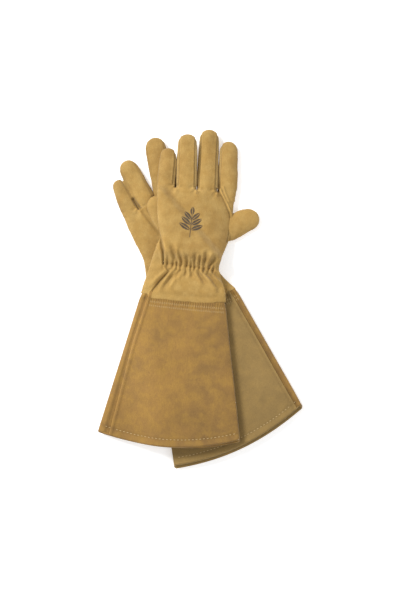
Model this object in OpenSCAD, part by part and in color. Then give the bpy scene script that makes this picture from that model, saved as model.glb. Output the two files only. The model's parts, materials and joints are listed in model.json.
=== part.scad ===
// A pair of leather gauntlet gardening gloves, lying flat, one fanned over the other.
// The left glove lies back up on top, and the right glove lies palm up under it.
//
// Each glove is drawn in a plan frame of its own: the origin is the middle of the wrist,
// +Y runs to the fingertips, +X to the thumb side, and Z = 0 is the surface they lie on.
// Every piece of leather is one patch of a lofted skin. A skin is a list of sections, and
// a patch is the stretch between two angles around them: 0 is the thumb-side edge, 90 the
// middle of the back of the hand, 180 the little-finger edge and 270 the middle of the palm.

/* [Leather] */
// Thickness of the leather of the hand and the cuff
leather_t = 1.2; // [1:0.1:1.5]
// Thickness of the elastic sewn inside the back of the wrist
elastic_t = 1; // [0.6:0.1:1.2]
// Width of the elastic
elastic_w = 9; // [6:1:10]
// How far sewing thread stands out of the leather
thread_t = 0.5; // [0.3:0.1:0.6]

/* [Hand] */
// From the wrist gather to the knuckle line
palm_l = 98; // [92:1:104]
// Width across the wrist gather
wrist_w = 88; // [82:1:92]
// Width across the palm
palm_w = 93; // [88:1:98]
// Thickness of the resting hand
hand_h = 12; // [10:0.5:13]
// Angle around a finger taken by the strip down its side, above and below its edge
fork_angle = 35; // [25:1:45]

/* [Fingers] */
// Thickness of a resting finger stall
finger_h = 12; // [10:0.5:12.5]
// Widths of the index, middle, ring and little stalls
finger_w = [21.5, 24, 21.5, 18.5];
// Lengths of the index, middle, ring and little stalls
finger_l = [65, 77, 68, 48];
// Width of the thumb stall
thumb_w = 27; // [24:0.5:28]
// Thickness of the thumb stall
thumb_h = 9; // [8:0.5:10]
// Gap left at a line where the leather bends
bend_gap = 0.5; // [0.4:0.1:1]

/* [Cuff] */
// Length of the hand leather below the wrist, down to the cuff seam
skirt_l = 39.5; // [34:0.5:44]
// Width at the cuff seam
cuff_top_w = 107; // [100:1:110]
// Width across the open end
cuff_end_w = 178; // [165:1:182]
// Length from the cuff seam to the middle of the open end
cuff_l = 190; // [170:1:195]
// How far the middle of the open end bows past its corners
end_bow = 14; // [8:1:18]
// Thickness of the cuff at the open end
mouth_h = 14; // [12:0.5:16]
// Depth of the turned hem
hem_l = 12.5; // [8:0.5:15]

/* [Pair] */
// Turn of the top glove, from straight up
top_turn = -6; // [-8:1:-4]
// Turn of the bottom glove, from straight up
bottom_turn = 20; // [18:1:22]
// Wrist of the top glove, in plan
top_place = [-20.3, 40.4];
// Wrist of the bottom glove, in plan
bottom_place = [-28.7, 26.8];
// Clearance between the two gloves
pair_gap = 0.7; // [0.5:0.1:1.5]

/* [Hidden] */
TOP = 0;
BOTTOM = 1;
INDEX = 0;
MIDDLE = 1;
RING = 2;
LITTLE = 3;

hand_colour = "#c69a58";
fork_colour = "#d3ad74";
cuff_colour = "#a47c48";
thread_colour = "#c9ab78";
elastic_colour = "#e8dfcc";

// Roundness of a section: 1 is an ellipse, and less is squarer
side_power = 0.7;
crown_power = 0.85;
// How far the bottom glove's sections dip under the surface before they are flattened on it
flat_dip = 0.4;
steps_back = 14;
steps_finger = 5;
steps_fork = 2;
tip_angles = [30, 55, 75, 88];
tip_reach = 0.55;
stitch_l = 3;
stitch_w = 0.7;
stitch_pitch = 5;
stitch_lift = 0.4;
hem_gap = 0.3;

function ease(v) = let (c = max(0, min(1, v))) c * c * (3 - 2 * c);
function signed_pow(v, p) = sign(v) * pow(abs(v), p);
// Angle around a section of the point at a share of its half width, from -1 to 1
function at_share(f) = acos(signed_pow(f, 1 / side_power));

// Where the folded thumb of the bottom glove lifts the top one
function thumb_hump(x, y) = thumb_h * ease((71 - 1.05 * y - x) / 17)
  * ease((y + 2) / 22) * (1 - ease((y - 88) / 26));
// Height of what the top glove lies on, at a point of its plan frame. The bottom glove
// holds it up between its own two slanting edges, and beyond them it falls to the surface.
function support(x, y) =
  let (
    right_edge = max(-1, 0.46 * (palm_l - y) - 1),
    left_edge = -45 - 0.23 * y,
    share = (1 - ease((x - right_edge) / 45)) * (1 - ease((left_edge - x) / 60)),
    level = hand_h + pair_gap + (mouth_h - hand_h) * ease((-y - skirt_l) / cuff_l),
    past_knuckles = ease((y - palm_l) / 60)
  )
  level * pow(share, 1 + 3 * past_knuckles) + thumb_hump(x, y);

// A section is [x, y, heading, width, thickness, lift, bow, tip angle]. Heading is the way
// the stall points, in degrees from +Y towards -X, and lift is its height off what it is on.
function section(x, y, w, h, heading = 0, lift = 0, bow = 0, tip = 0) =
  [x, y, heading, w, h, lift, bow, tip];

// One point of a skin. Inset is the depth below its outer face. Lean says how much of the
// slope under the top glove a section takes: 1 on the hand and cuff, less on a finger.
function skin_point(g, s, angle, inset, lean) =
  let (
    turn = g == TOP ? angle : -angle,
    shrink = cos(s[7]),
    w = (s[3] - 2 * inset) * shrink,
    h = (s[4] - 2 * inset) * pow(shrink, 0.8),
    a = w / 2 * signed_pow(cos(turn), side_power),
    b = h / 2 * signed_pow(sin(turn), crown_power),
    back = inset * sin(s[7]),
    cx = s[0] + back * sin(s[2]),
    cy = s[1] - back * cos(s[2]),
    x = cx + a * cos(s[2]),
    y = cy + a * sin(s[2]) - s[6] * (1 - pow(2 * a / w, 2)),
    base = g == TOP ? support(cx + (x - cx) * lean, cy) : -flat_dip,
    floor_z = g == TOP ? 0.1 + inset : s[5] + inset
  )
  [x, y, max(floor_z, base + s[5] + s[4] / 2 + b)];

// A patch of leather: a closed solid between two insets, from angle from[i] to to[i] on
// section i, with n strips across it.
module patch(g, skin, from, to, n, outer = 0, inner = leather_t, lean = 1) {
  rows = len(skin);
  m = n + 1;
  lo = g == TOP ? from : -to;
  hi = g == TOP ? to : -from;
  side = [for (inset = [outer, inner]) for (i = [0 : rows - 1]) for (j = [0 : n])
    skin_point(g, skin[i], (g == TOP ? 1 : -1) * (lo[i] + (hi[i] - lo[i]) * j / n), inset, lean)];
  o = rows * m;
  face = [for (i = [0 : rows - 2]) for (j = [0 : n - 1])
    let (a = i * m + j, b = a + 1, c = a + m, d = c + 1)
    each [[a, c, b], [b, c, d], [a + o, b + o, c + o], [b + o, d + o, c + o]]];
  ends = [for (j = [0 : n - 1])
    let (a = j, b = (rows - 1) * m + j)
    each [[a, a + 1, a + o], [a + 1, a + 1 + o, a + o],
          [b, b + o, b + 1], [b + 1, b + o, b + 1 + o]]];
  edges = [for (i = [0 : rows - 2])
    let (a = i * m, b = i * m + n)
    each [[a, a + o, a + m], [a + m, a + o, a + m + o],
          [b, b + m, b + o], [b + m, b + m + o, b + o]]];
  // Faces point outwards on a skin that runs towards the open end, so the others are turned
  faces = concat(face, ends, edges);
  runs_up = skin[rows - 1][1] > skin[0][1];
  polyhedron(side, runs_up ? [for (f = faces) [f[0], f[2], f[1]]] : faces);
}

// The same angle on every section of a skin
function all_along(skin, angle) = [for (s = skin) angle];

// --- Sizes of the two gloves, [top glove, bottom glove] ---
hand_skin = [
  [section(0, bend_gap, wrist_w, hand_h),
   section(1, 13, wrist_w + 1, hand_h),
   section(8.3, 34, wrist_w - 3, hand_h),
   section(7.5, 60, palm_w + 2, hand_h),
   section(6.5, 80, palm_w + 4, hand_h),
   section(6, palm_l, palm_w + 5, finger_h)],
  [section(3.5, 0, wrist_w - 1, hand_h),
   section(5, 13, wrist_w - 2, hand_h),
   section(9, 34, wrist_w - 2, hand_h),
   section(10.3, 60, palm_w - 2, hand_h),
   section(9.5, 80, palm_w - 3, hand_h),
   section(8.5, palm_l, palm_w - 3, finger_h)]
];
skirt_skin = [
  [section(0, -bend_gap, wrist_w, hand_h),
   section(1.2, -13, wrist_w + 7, hand_h),
   section(3.2, -30, cuff_top_w - 2, hand_h),
   section(3.2, -skirt_l, cuff_top_w, hand_h)],
  [section(3.5, 0, wrist_w - 1, hand_h),
   section(5, -13, wrist_w + 7, hand_h),
   section(7.3, -27, cuff_top_w - 6, hand_h),
   section(10.5, -skirt_l, cuff_top_w + 2, hand_h)]
];
// Middle of the open end, and the slant of the line across it
end_x = 3.2;
end_slant = [3, 5.5];
// Section of a cuff at a share of its length. Its width, bow and slant grow evenly.
function cuff_section(g, v) =
  let (seam = skirt_skin[g][3])
  section(seam[0] + (end_x - seam[0]) * v, seam[1] - bend_gap * (1 - v) - (cuff_l - end_bow) * v,
    seam[3] + (cuff_end_w - seam[3]) * v, hand_h + (mouth_h - hand_h) * v,
    heading = end_slant[g] * v, bow = end_bow * v);
hem_share = 1 - hem_l / cuff_l;
cuff_rows = [0, 0.2, 0.4, 0.6, 0.8, hem_share, 1];
cuff_skin = [for (g = [TOP, BOTTOM]) [for (v = cuff_rows) cuff_section(g, v)]];
// The turned-up leather stops just short of the fold
hem_skin = [for (g = [TOP, BOTTOM]) [for (v = [hem_share, 0.995]) cuff_section(g, v)]];

// Where each finger leaves the knuckle line, and its lean from straight ahead
finger_x = [[43.5, 18.5, -7, -30.5], [42.8, 18.9, -3.6, -28.6]];
finger_lean = [[3.5, 3, 5.5, 2.5], [-24, -8, 7, 3.5]];
// The bottom glove's ring finger bends past the tip of the thumb that lies on its root
ring_root_l = 12.5;

// Skin of a straight stall, with its round tip
function stall(x, y, w, l, lean, h) =
  let (
    r = tip_reach * w,
    body_l = l - r,
    ahead = [-sin(lean), cos(lean)],
    straight = [for (v = [0, 0.3, 0.65, 1])
      section(x + ahead[0] * body_l * v, y + ahead[1] * body_l * v,
        v == 0 ? w / cos(lean) : w, h, heading = v == 0 ? 0 : lean)],
    tip = [for (t = tip_angles)
      section(x + ahead[0] * (body_l + r * sin(t)), y + ahead[1] * (body_l + r * sin(t)),
        w, h, heading = lean, tip = t)]
  )
  concat(straight, tip);
function finger_skin(g, f) =
  let (
    root = g == BOTTOM && f == RING ? ring_root_l : 0,
    lean = finger_lean[g][f]
  )
  stall(finger_x[g][f] - root * tan(lean), palm_l + bend_gap + root, finger_w[f],
    finger_l[f] - bend_gap - root / cos(lean), lean, finger_h);

// Skin of a thumb along a bent middle line of [x, y, heading, width, thickness, lift] places
function thumb_skin(places) =
  let (
    e = places[len(places) - 1],
    r = tip_reach * e[3]
  )
  concat(
    [for (p = places) section(p[0], p[1], p[3], p[4], heading = p[2], lift = p[5])],
    [for (t = tip_angles) section(e[0] - sin(e[2]) * r * sin(t), e[1] + cos(e[2]) * r * sin(t),
      e[3], e[4], heading = e[2], lift = e[5], tip = t)]);
on_palm = hand_h + 0.1;
thumb_places = [
  [[56.4, 51.5, -90, thumb_w + 3.5, thumb_h + 1, 0],
   [63, 56, -74, thumb_w + 1, thumb_h + 1, 0],
   [68, 59, -64, thumb_w, thumb_h, 0],
   [74.5, 62.5, -62, thumb_w, thumb_h, 0]],
  [[36, 36, 62, thumb_w - 1, thumb_h / 2, on_palm],
   [24, 44, 50, thumb_w, thumb_h, on_palm],
   [14, 56, 20, thumb_w, thumb_h, on_palm],
   [10, 70, 4, thumb_w, thumb_h, on_palm],
   [8.8, 91.5, 3, thumb_w, thumb_h, on_palm]]
];

// Index wing: the index piece runs on over the hand down to a point at its thumb-side edge
wing_share = [1, 1, 0.97, 0.85, 0.7, 0.53];
// The palm leather turns over the little-finger edge of the wrist on to the back
turn_share = [-0.73, -0.78, -0.9, -0.97, -1, -1];
skirt_turn_share = [-0.73, -0.76, -0.8, -0.83];
// The lapped seam down the side of a cuff
lap_share = [-0.83, -0.84, -0.85, -0.86, -0.87, -0.87, -0.87];

module place(g) {
  spot = g == TOP ? top_place : bottom_place;
  translate([spot[0], spot[1], 0])
    rotate([0, 0, g == TOP ? top_turn : bottom_turn])
      children();
}

// --- Hand ---
module hand_back(g) {
  s = hand_skin[g];
  color(hand_colour) place(g)
    patch(g, s, [for (f = wing_share) at_share(f)], [for (f = turn_share) at_share(f)], steps_back);
}
module hand_palm(g) {
  s = hand_skin[g];
  color(hand_colour) place(g)
    patch(g, s, [for (f = turn_share) at_share(f)], all_along(s, 360), steps_back);
}
module index_wing(g) {
  rows = [2 : 5];
  color(hand_colour) place(g)
    patch(g, [for (i = rows) hand_skin[g][i]], [for (i = rows) 0],
      [for (i = rows) at_share(wing_share[i])], steps_finger);
}
module wrist_elastic(g) {
  start = hand_skin[g][0];
  s = [start, section(start[0] + 0.7, start[1] + elastic_w, start[3], start[4])];
  color(elastic_colour) place(g)
    patch(g, s, all_along(s, 45), all_along(s, 135), steps_finger,
      outer = leather_t + 0.1, inner = leather_t + 0.1 + elastic_t);
}

// --- Fingers ---
module finger_patch(g, f, from, to, n) {
  s = finger_skin(g, f);
  place(g) patch(g, s, all_along(s, from), all_along(s, to), n, lean = 0.3);
}
module index_wrap(g) color(hand_colour)
  finger_patch(g, INDEX, fork_angle - 180, 180 - fork_angle, 2 * steps_finger + 2);
module little_back(g) color(hand_colour) finger_patch(g, LITTLE, fork_angle, 180, steps_finger + 1);
module little_palm(g) color(hand_colour) finger_patch(g, LITTLE, 180, 360 - fork_angle, steps_finger + 1);
module finger_back(g, f) color(hand_colour) finger_patch(g, f, fork_angle, 180 - fork_angle, steps_finger);
module finger_palm(g, f) color(hand_colour)
  finger_patch(g, f, 180 + fork_angle, 360 - fork_angle, steps_finger);
module thumb_side_fork(g, f) color(fork_colour) finger_patch(g, f, -fork_angle, fork_angle, steps_fork);
module far_side_fork(g, f) color(fork_colour)
  finger_patch(g, f, 180 - fork_angle, 180 + fork_angle, steps_fork);
// The short stretch of the bottom glove's ring finger that stays with the hand
module ring_root(g) {
  lean = finger_lean[g][RING];
  s = [section(finger_x[g][RING], palm_l + bend_gap, finger_w[RING] / cos(lean), finger_h),
       section(finger_x[g][RING] - (ring_root_l - bend_gap) * tan(lean), palm_l + ring_root_l,
         finger_w[RING] / cos(lean), finger_h)];
  color(hand_colour) place(g)
    for (a = [0, 180])
      patch(g, s, all_along(s, a), all_along(s, a + 180), steps_finger + 1);
}
module thumb_patch(g, from, to) {
  s = thumb_skin(thumb_places[g]);
  color(hand_colour) place(g)
    patch(g, s, all_along(s, from), all_along(s, to), steps_finger + 1, lean = 0.3);
}
module thumb_back(g) thumb_patch(g, 0, 180);
module thumb_front(g) thumb_patch(g, 180, 360);

// --- Wrist skirt and cuff ---
module skirt_back(g) {
  s = skirt_skin[g];
  color(hand_colour) place(g)
    patch(g, s, all_along(s, 0), [for (f = skirt_turn_share) at_share(f)], steps_back);
}
module skirt_palm(g) {
  s = skirt_skin[g];
  color(hand_colour) place(g)
    patch(g, s, [for (f = skirt_turn_share) at_share(f)], all_along(s, 360), steps_back);
}
module cuff_back(g) {
  s = cuff_skin[g];
  color(cuff_colour) place(g)
    patch(g, s, all_along(s, 0), [for (f = lap_share) at_share(f)], steps_back);
}
module cuff_palm(g) {
  s = cuff_skin[g];
  color(cuff_colour) place(g)
    patch(g, s, [for (f = lap_share) at_share(f)], all_along(s, 360), steps_back);
}
// The leather turned up inside the open end
module cuff_hem(g) {
  lap = at_share(lap_share[len(lap_share) - 1]);
  color(cuff_colour) place(g)
    for (a = [[0, lap], [lap, 360]])
      patch(g, hem_skin[g], [a[0], a[0]], [a[1], a[1]], steps_back,
        outer = leather_t + hem_gap, inner = 2 * leather_t + hem_gap);
}

// --- Stitching, on the side that faces up ---
// One row of stitches across a cuff at a share of its length
module stitch_row(g, v) {
  w = cuff_section(g, v)[3];
  count = floor(w * 0.9 / stitch_pitch);
  half = stitch_w / 2 / cuff_l;
  s = [for (u = [v - half, v + half]) cuff_section(g, u)];
  first = g == TOP ? 0 : 180;
  for (i = [0 : count - 1]) {
    f = -0.9 + (i + 0.5) * 1.8 / count;
    df = stitch_l / w;
    a = g == TOP ? at_share(f + df) : 360 - at_share(f - df);
    b = g == TOP ? at_share(f - df) : 360 - at_share(f + df);
    patch(g, s, [a, a], [b, b], 1, outer = -thread_t, inner = -stitch_lift);
  }
}
module hem_stitching(g) color(thread_colour) place(g) stitch_row(g, hem_share + 0.006);
module wrist_stitching(g) color(thread_colour) place(g) {
  stitch_row(g, 0.035);
  stitch_row(g, 0.075);
}

hand_back(TOP);  // upper_hand_back
hand_palm(TOP);  // upper_hand_palm
index_wing(TOP);  // upper_index_wing
wrist_elastic(TOP);  // upper_wrist_elastic
index_wrap(TOP);  // upper_index_wrap
far_side_fork(TOP, INDEX);  // upper_index_fork
finger_back(TOP, MIDDLE);  // upper_middle_back
finger_palm(TOP, MIDDLE);  // upper_middle_palm
thumb_side_fork(TOP, MIDDLE);  // upper_middle_fork_index
far_side_fork(TOP, MIDDLE);  // upper_middle_fork_ring
finger_back(TOP, RING);  // upper_ring_back
finger_palm(TOP, RING);  // upper_ring_palm
thumb_side_fork(TOP, RING);  // upper_ring_fork_middle
far_side_fork(TOP, RING);  // upper_ring_fork_little
little_back(TOP);  // upper_little_back
little_palm(TOP);  // upper_little_palm
thumb_side_fork(TOP, LITTLE);  // upper_little_fork
thumb_back(TOP);  // upper_thumb_back
thumb_front(TOP);  // upper_thumb_front
skirt_back(TOP);  // upper_skirt_back
skirt_palm(TOP);  // upper_skirt_palm
cuff_back(TOP);  // upper_cuff_back
cuff_palm(TOP);  // upper_cuff_palm
cuff_hem(TOP);  // upper_cuff_hem
hem_stitching(TOP);  // upper_hem_stitching
wrist_stitching(TOP);  // upper_wrist_stitching
hand_back(BOTTOM);  // lower_hand_back
hand_palm(BOTTOM);  // lower_hand_palm
index_wing(BOTTOM);  // lower_index_wing
wrist_elastic(BOTTOM);  // lower_wrist_elastic
index_wrap(BOTTOM);  // lower_index_wrap
far_side_fork(BOTTOM, INDEX);  // lower_index_fork
finger_back(BOTTOM, MIDDLE);  // lower_middle_back
finger_palm(BOTTOM, MIDDLE);  // lower_middle_palm
thumb_side_fork(BOTTOM, MIDDLE);  // lower_middle_fork_index
far_side_fork(BOTTOM, MIDDLE);  // lower_middle_fork_ring
ring_root(BOTTOM);  // lower_ring_root
finger_back(BOTTOM, RING);  // lower_ring_back
finger_palm(BOTTOM, RING);  // lower_ring_palm
thumb_side_fork(BOTTOM, RING);  // lower_ring_fork_middle
far_side_fork(BOTTOM, RING);  // lower_ring_fork_little
little_back(BOTTOM);  // lower_little_back
little_palm(BOTTOM);  // lower_little_palm
thumb_side_fork(BOTTOM, LITTLE);  // lower_little_fork
thumb_back(BOTTOM);  // lower_thumb_back
thumb_front(BOTTOM);  // lower_thumb_front
skirt_back(BOTTOM);  // lower_skirt_back
skirt_palm(BOTTOM);  // lower_skirt_palm
cuff_back(BOTTOM);  // lower_cuff_back
cuff_palm(BOTTOM);  // lower_cuff_palm
cuff_hem(BOTTOM);  // lower_cuff_hem
hem_stitching(BOTTOM);  // lower_hem_stitching
wrist_stitching(BOTTOM);  // lower_wrist_stitching
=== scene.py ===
"""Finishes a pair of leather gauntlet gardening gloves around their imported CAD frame.

The left glove lies back up on top and the right glove lies palm up under it. Lengths in the
code are millimetres in each glove's plan frame: its origin is the middle of the wrist, +Y
runs to the fingertips and +X to the thumb side. Meshes are metres in the row frame.
"""

import json
import math

import bmesh
import bpy
import numpy as np
from mathutils import Matrix, Vector, noise


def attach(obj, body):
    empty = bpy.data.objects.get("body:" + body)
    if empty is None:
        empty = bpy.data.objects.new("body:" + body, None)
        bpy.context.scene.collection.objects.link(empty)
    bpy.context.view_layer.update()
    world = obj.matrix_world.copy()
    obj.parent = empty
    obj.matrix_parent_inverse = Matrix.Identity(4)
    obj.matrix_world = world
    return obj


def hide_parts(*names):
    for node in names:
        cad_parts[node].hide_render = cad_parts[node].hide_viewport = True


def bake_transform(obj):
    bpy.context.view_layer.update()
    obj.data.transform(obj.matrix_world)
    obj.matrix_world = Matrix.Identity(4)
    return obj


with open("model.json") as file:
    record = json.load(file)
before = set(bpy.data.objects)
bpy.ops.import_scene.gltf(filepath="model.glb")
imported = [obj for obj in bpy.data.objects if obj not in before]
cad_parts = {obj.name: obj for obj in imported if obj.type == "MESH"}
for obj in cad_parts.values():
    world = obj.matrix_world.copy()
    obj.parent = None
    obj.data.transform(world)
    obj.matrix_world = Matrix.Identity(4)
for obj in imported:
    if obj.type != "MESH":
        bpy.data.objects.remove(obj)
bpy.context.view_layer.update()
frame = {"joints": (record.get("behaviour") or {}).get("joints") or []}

bl_info = {
    "name": "Gauntlet gardening gloves",
    "version": (1, 0, 0),
    "blender": (4, 5, 0),
    "location": "3D View > Sidebar > Gloves",
    "description": "Leather skins, seams, stitching and finishes for a pair of gardening gloves",
    "category": "Object",
}

MM = 0.001
JOINTS = {joint["name"]: joint for joint in frame["joints"]}

# --- Sizes shared with the CAD source, in millimetres ---
HAND_H = 12.0
PAIR_GAP = 0.7
MOUTH_H = 14.0
SKIRT_L = 39.5
CUFF_L = 190.0
END_BOW = 14.0
CUFF_END_W = 181.0
END_X = 3.2
PALM_L = 98.0
KNUCKLE = 98.25
THUMB_H = 9.0
SIDE_POWER = 0.7
CROWN_POWER = 0.85
FLAT_DIP = 0.4
RING_BEND_Y = 110.75
LITTLE_BEND_X = -28.6

INDEX, MIDDLE, RING, LITTLE = range(4)
FINGERS = ("index", "middle", "ring", "little")
FORK_SHARE = 0.77
# Plan y that the fingers' middle lines are measured from
ROOT_Y = 98.5
# Columns of FINGER_SHAPES
WIDTH, LENGTH = 2, 3
# Depth below the seam of the hem's stitching, from the open end
STITCH_DOWN = 9.0
# Middle, width and slant of each cuff at its seam
CUFF_TOPS = {"upper": (3.2, 107.0, 3.0), "lower": (10.5, 109.0, 5.5)}
# Share of an under panel that is the strip turned up past the lap seam
STRIP_SHARE = 0.15
FLOOR_SIZE = 3
FLOOR_GLOW = 0.38
WORLD_LIGHT = 0.6
# Place in metres, width and power of each light
LIGHTS = {"key": ((-1.35, 1.15, 1.45), 0.8, 52.0), "fill": ((1.5, -0.8, 1.6), 1.6, 9.0)}
WHITE = (1, 1, 1, 1)
LENS = 85
HALF_VIEW = 0.381
CAMERA_Y = -0.0027
CAMERA_RISE = 0.012


class GloveSizes(bpy.types.PropertyGroup):
    """Sizes that can be changed without touching the frame."""

    voxel: bpy.props.FloatProperty(
        name="Skin detail", description="Size of the mesh cells the hand skins start from",
        default=0.0015, min=0.001, max=0.004, unit="LENGTH", precision=4)
    leather: bpy.props.FloatProperty(
        name="Leather", description="Thickness of the cuff leather",
        default=0.0012, min=0.0008, max=0.002, unit="LENGTH", precision=4)
    fold_depth: bpy.props.FloatProperty(
        name="Fold depth", description="Depth of the folds that run from the wrist gather",
        default=0.0027, min=0.0, max=0.004, unit="LENGTH", precision=4)
    pucker: bpy.props.FloatProperty(
        name="Pucker", description="Height of the puckers along the wrist gather",
        default=0.0016, min=0.0, max=0.003, unit="LENGTH", precision=4)
    seam_depth: bpy.props.FloatProperty(
        name="Seam depth", description="Depth of the groove at a seam",
        default=0.0008, min=0.0, max=0.002, unit="LENGTH", precision=4)
    stitch_length: bpy.props.FloatProperty(
        name="Stitch", description="Length of one hem stitch",
        default=0.0031, min=0.001, max=0.006, unit="LENGTH", precision=4)
    stitch_pitch: bpy.props.FloatProperty(
        name="Stitch pitch", description="Distance from one hem stitch to the next",
        default=0.0046, min=0.002, max=0.01, unit="LENGTH", precision=4)
    thread: bpy.props.FloatProperty(
        name="Thread", description="Thickness of the sewing thread",
        default=0.0007, min=0.0003, max=0.0015, unit="LENGTH", precision=4)


def colour(name, description, value):
    """A colour that a user can change."""
    return bpy.props.FloatVectorProperty(
        name=name, description=description, subtype="COLOR", size=3, min=0, max=1, default=value)


class GloveColours(bpy.types.PropertyGroup):
    """Colours of the finishes."""

    hand: colour("Hand leather", "Golden suede of the hands", (0.405, 0.245, 0.066))
    hand_dark: colour("Hand shade", "Darker patches in the hand suede", (0.30, 0.172, 0.046))
    hand_light: colour("Hand nap", "Brushed nap of the hand suede", (0.50, 0.335, 0.118))
    fork: colour("Finger strips", "Paler suede of the strips between the fingers",
                 (0.46, 0.305, 0.11))
    cuff: colour("Cuff leather", "Brown suede of the top cuff", (0.315, 0.172, 0.044))
    cuff_dark: colour("Cuff shade", "Darker patches in the cuff suede", (0.215, 0.122, 0.039))
    cuff_light: colour("Cuff nap", "Golden patches in the cuff suede", (0.41, 0.238, 0.055))
    lower_cuff: colour("Lower cuff", "Greyer suede of the bottom cuff", (0.285, 0.183, 0.062))
    thread: colour("Thread", "Cotton sewing thread", (0.45, 0.325, 0.175))
    ink: colour("Ink", "Stamped leaf sprig", (0.045, 0.038, 0.036))
    floor: colour("Floor", "Pale floor", (0.93, 0.93, 0.93))


# Where each finger leaves the knuckle line, its lean, width and length
FINGER_SHAPES = {
    "upper": [(44.8, 3.5, 25, 66.5), (19.0, 3.5, 26.8, 78.5), (-7.2, 4.7, 26.4, 69.5),
              (-33.2, 1.2, 22.6, 49)],
    "lower": [(42.8, -24, 22, 65), (20.8, -8, 29, 80.5), (-3.6, 8.5, 26.5, 64.5),
              (-27.8, 0.6, 23.5, 44.5)],
}


# --- Plan frames ---
class Glove:
    """One glove's plan frame and the numbers that differ between the two gloves."""

    def __init__(self, key, top, origin, turn):
        self.key = key
        self.top = top
        self.origin = np.array(origin)
        self.turn = turn
        self.seed = 3.1 if top else 11.7
        self.hand_body = "upper_hand" if top else "lower_glove"
        self.cuff_body = "upper_cuff" if top else "lower_glove"
        self.look = "hand_suede" if top else "lower_hand_suede"
        self.shapes = FINGER_SHAPES[key]

    def to_row(self, p):
        """Plan millimetres to row metres."""
        c, s = math.cos(self.turn), math.sin(self.turn)
        x = self.origin[0] + p[..., 0] * c - p[..., 1] * s
        y = self.origin[1] + p[..., 0] * s + p[..., 1] * c
        return np.stack([x, y, p[..., 2]], -1) * MM

    def point(self, x, y, z=10.0):
        """One plan point in the row frame."""
        return tuple(float(v) for v in self.to_row(np.array([x, y, z])))

    def facing(self, share):
        """Angle round the cuff of a width share, on the side that shows."""
        return at_share(share) if self.top else math.tau - at_share(share)

    def upright(self, angle):
        """Angle round the cuff turned so that 90 degrees points up."""
        return angle if self.top else -angle


def plan_frames():
    """The two gloves' frames, read from the joints that are fixed to them."""
    bend = JOINTS["upper_cuff_bend"]
    turn = math.atan2(-bend["axis"][1], -bend["axis"][0])
    top = Glove("upper", True, [v / MM for v in bend["pos_m"][:2]], turn)
    bend = JOINTS["lower_little_bend"]
    turn = math.atan2(bend["axis"][1], bend["axis"][0])
    c, s = math.cos(turn), math.sin(turn)
    x, y = (v / MM for v in bend["pos_m"][:2])
    origin = [x - LITTLE_BEND_X * c + KNUCKLE * s, y - LITTLE_BEND_X * s - KNUCKLE * c]
    return top, Glove("lower", False, origin, turn)


TOP, BOTTOM = plan_frames()


# --- Curves and fields on numpy arrays ---
def ease(v):
    c = np.clip(v, 0, 1)
    return c * c * (3 - 2 * c)


def signed_pow(v, power):
    return np.sign(v) * np.abs(v) ** power


def bell(v):
    return np.exp(-v * v)


def at_share(share):
    """Angle round a section of the point at a share of its half width."""
    return np.arccos(np.clip(signed_pow(share, 1 / SIDE_POWER), -1, 1))


def thumb_hump(x, y):
    return THUMB_H * ease((71 - 1.05 * y - x) / 17) * ease((y + 2) / 22) * (1 - ease((y - 88) / 26))


def support(x, y):
    """Height of what the top glove lies on, at a point of its plan frame."""
    right_edge = np.maximum(-1, 0.46 * (PALM_L - y) - 1)
    left_edge = -45 - 0.23 * y
    share = (1 - ease((x - right_edge) / 45)) * (1 - ease((left_edge - x) / 60))
    level = HAND_H + PAIR_GAP + (MOUTH_H - HAND_H) * ease((-y - SKIRT_L) / CUFF_L)
    past_knuckles = ease((y - PALM_L) / 60)
    return level * share ** (1 + 3 * past_knuckles) + thumb_hump(x, y)


def along(p, path):
    """Signed distance from a plan path and the share along it, for every point."""
    path = np.array(path, float)
    steps = np.linalg.norm(np.diff(path, axis=0), axis=1)
    starts = np.concatenate([[0], np.cumsum(steps)])
    best = np.full(len(p), 1e9)
    side = np.zeros(len(p))
    share = np.zeros(len(p))
    for a, b, start, step in zip(path, path[1:], starts, steps):
        d = (b - a) / step
        rel = p[:, :2] - a
        t = np.clip(rel @ d, 0, step)
        gap = rel - t[:, None] * d
        distance = np.linalg.norm(gap, axis=1)
        nearer = distance < best
        best = np.where(nearer, distance, best)
        side = np.where(nearer, np.sign(gap @ np.array([-d[1], d[0]])), side)
        share = np.where(nearer, (start + t) / starts[-1], share)
    return best * side, share


def waves(p, scale, seed):
    """Smooth noise from -1 to 1 at plan points, with features of about scale millimetres."""
    shift = Vector((seed, seed * 1.7, seed * 0.6))
    return np.array([noise.noise(Vector(q) / scale + shift) for q in p])


# --- Mesh helpers ---
def points_of(mesh):
    co = np.zeros(len(mesh.vertices) * 3, np.float32)
    mesh.vertices.foreach_get("co", co)
    return co.reshape(-1, 3).astype(float)


def normals_of(mesh):
    flat = np.zeros(len(mesh.vertices) * 3, np.float32)
    mesh.vertex_normals.foreach_get("vector", flat)
    return flat.reshape(-1, 3).astype(float)


def set_points(mesh, co):
    mesh.vertices.foreach_set("co", co.astype(np.float32).ravel())
    mesh.update()


def set_painted_light_and_tone(mesh, tone):
    """Painted light and shade that follow the seams, folds and rounded sides, with some random tone,
    read by the leather materials.
    """
    layer = mesh.attributes.get("tone") or mesh.attributes.new("tone", "FLOAT", "POINT")
    layer.data.foreach_set("value", tone.astype(np.float32))


def linked(name, mesh):
    obj = bpy.data.objects.new(name, mesh)
    bpy.context.scene.collection.objects.link(obj)
    return obj


def mesh_from(bm, name):
    """The finished bmesh as a named mesh."""
    mesh = bpy.data.meshes.new(name)
    bm.to_mesh(mesh)
    bm.free()
    return mesh


def finished_mesh(obj):
    """A copy of the object's mesh with its modifiers applied."""
    graph = bpy.context.evaluated_depsgraph_get()
    return bpy.data.meshes.new_from_object(obj.evaluated_get(graph))


def smooth_shaded(mesh):
    mesh.polygons.foreach_set("use_smooth", [True] * len(mesh.polygons))


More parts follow.
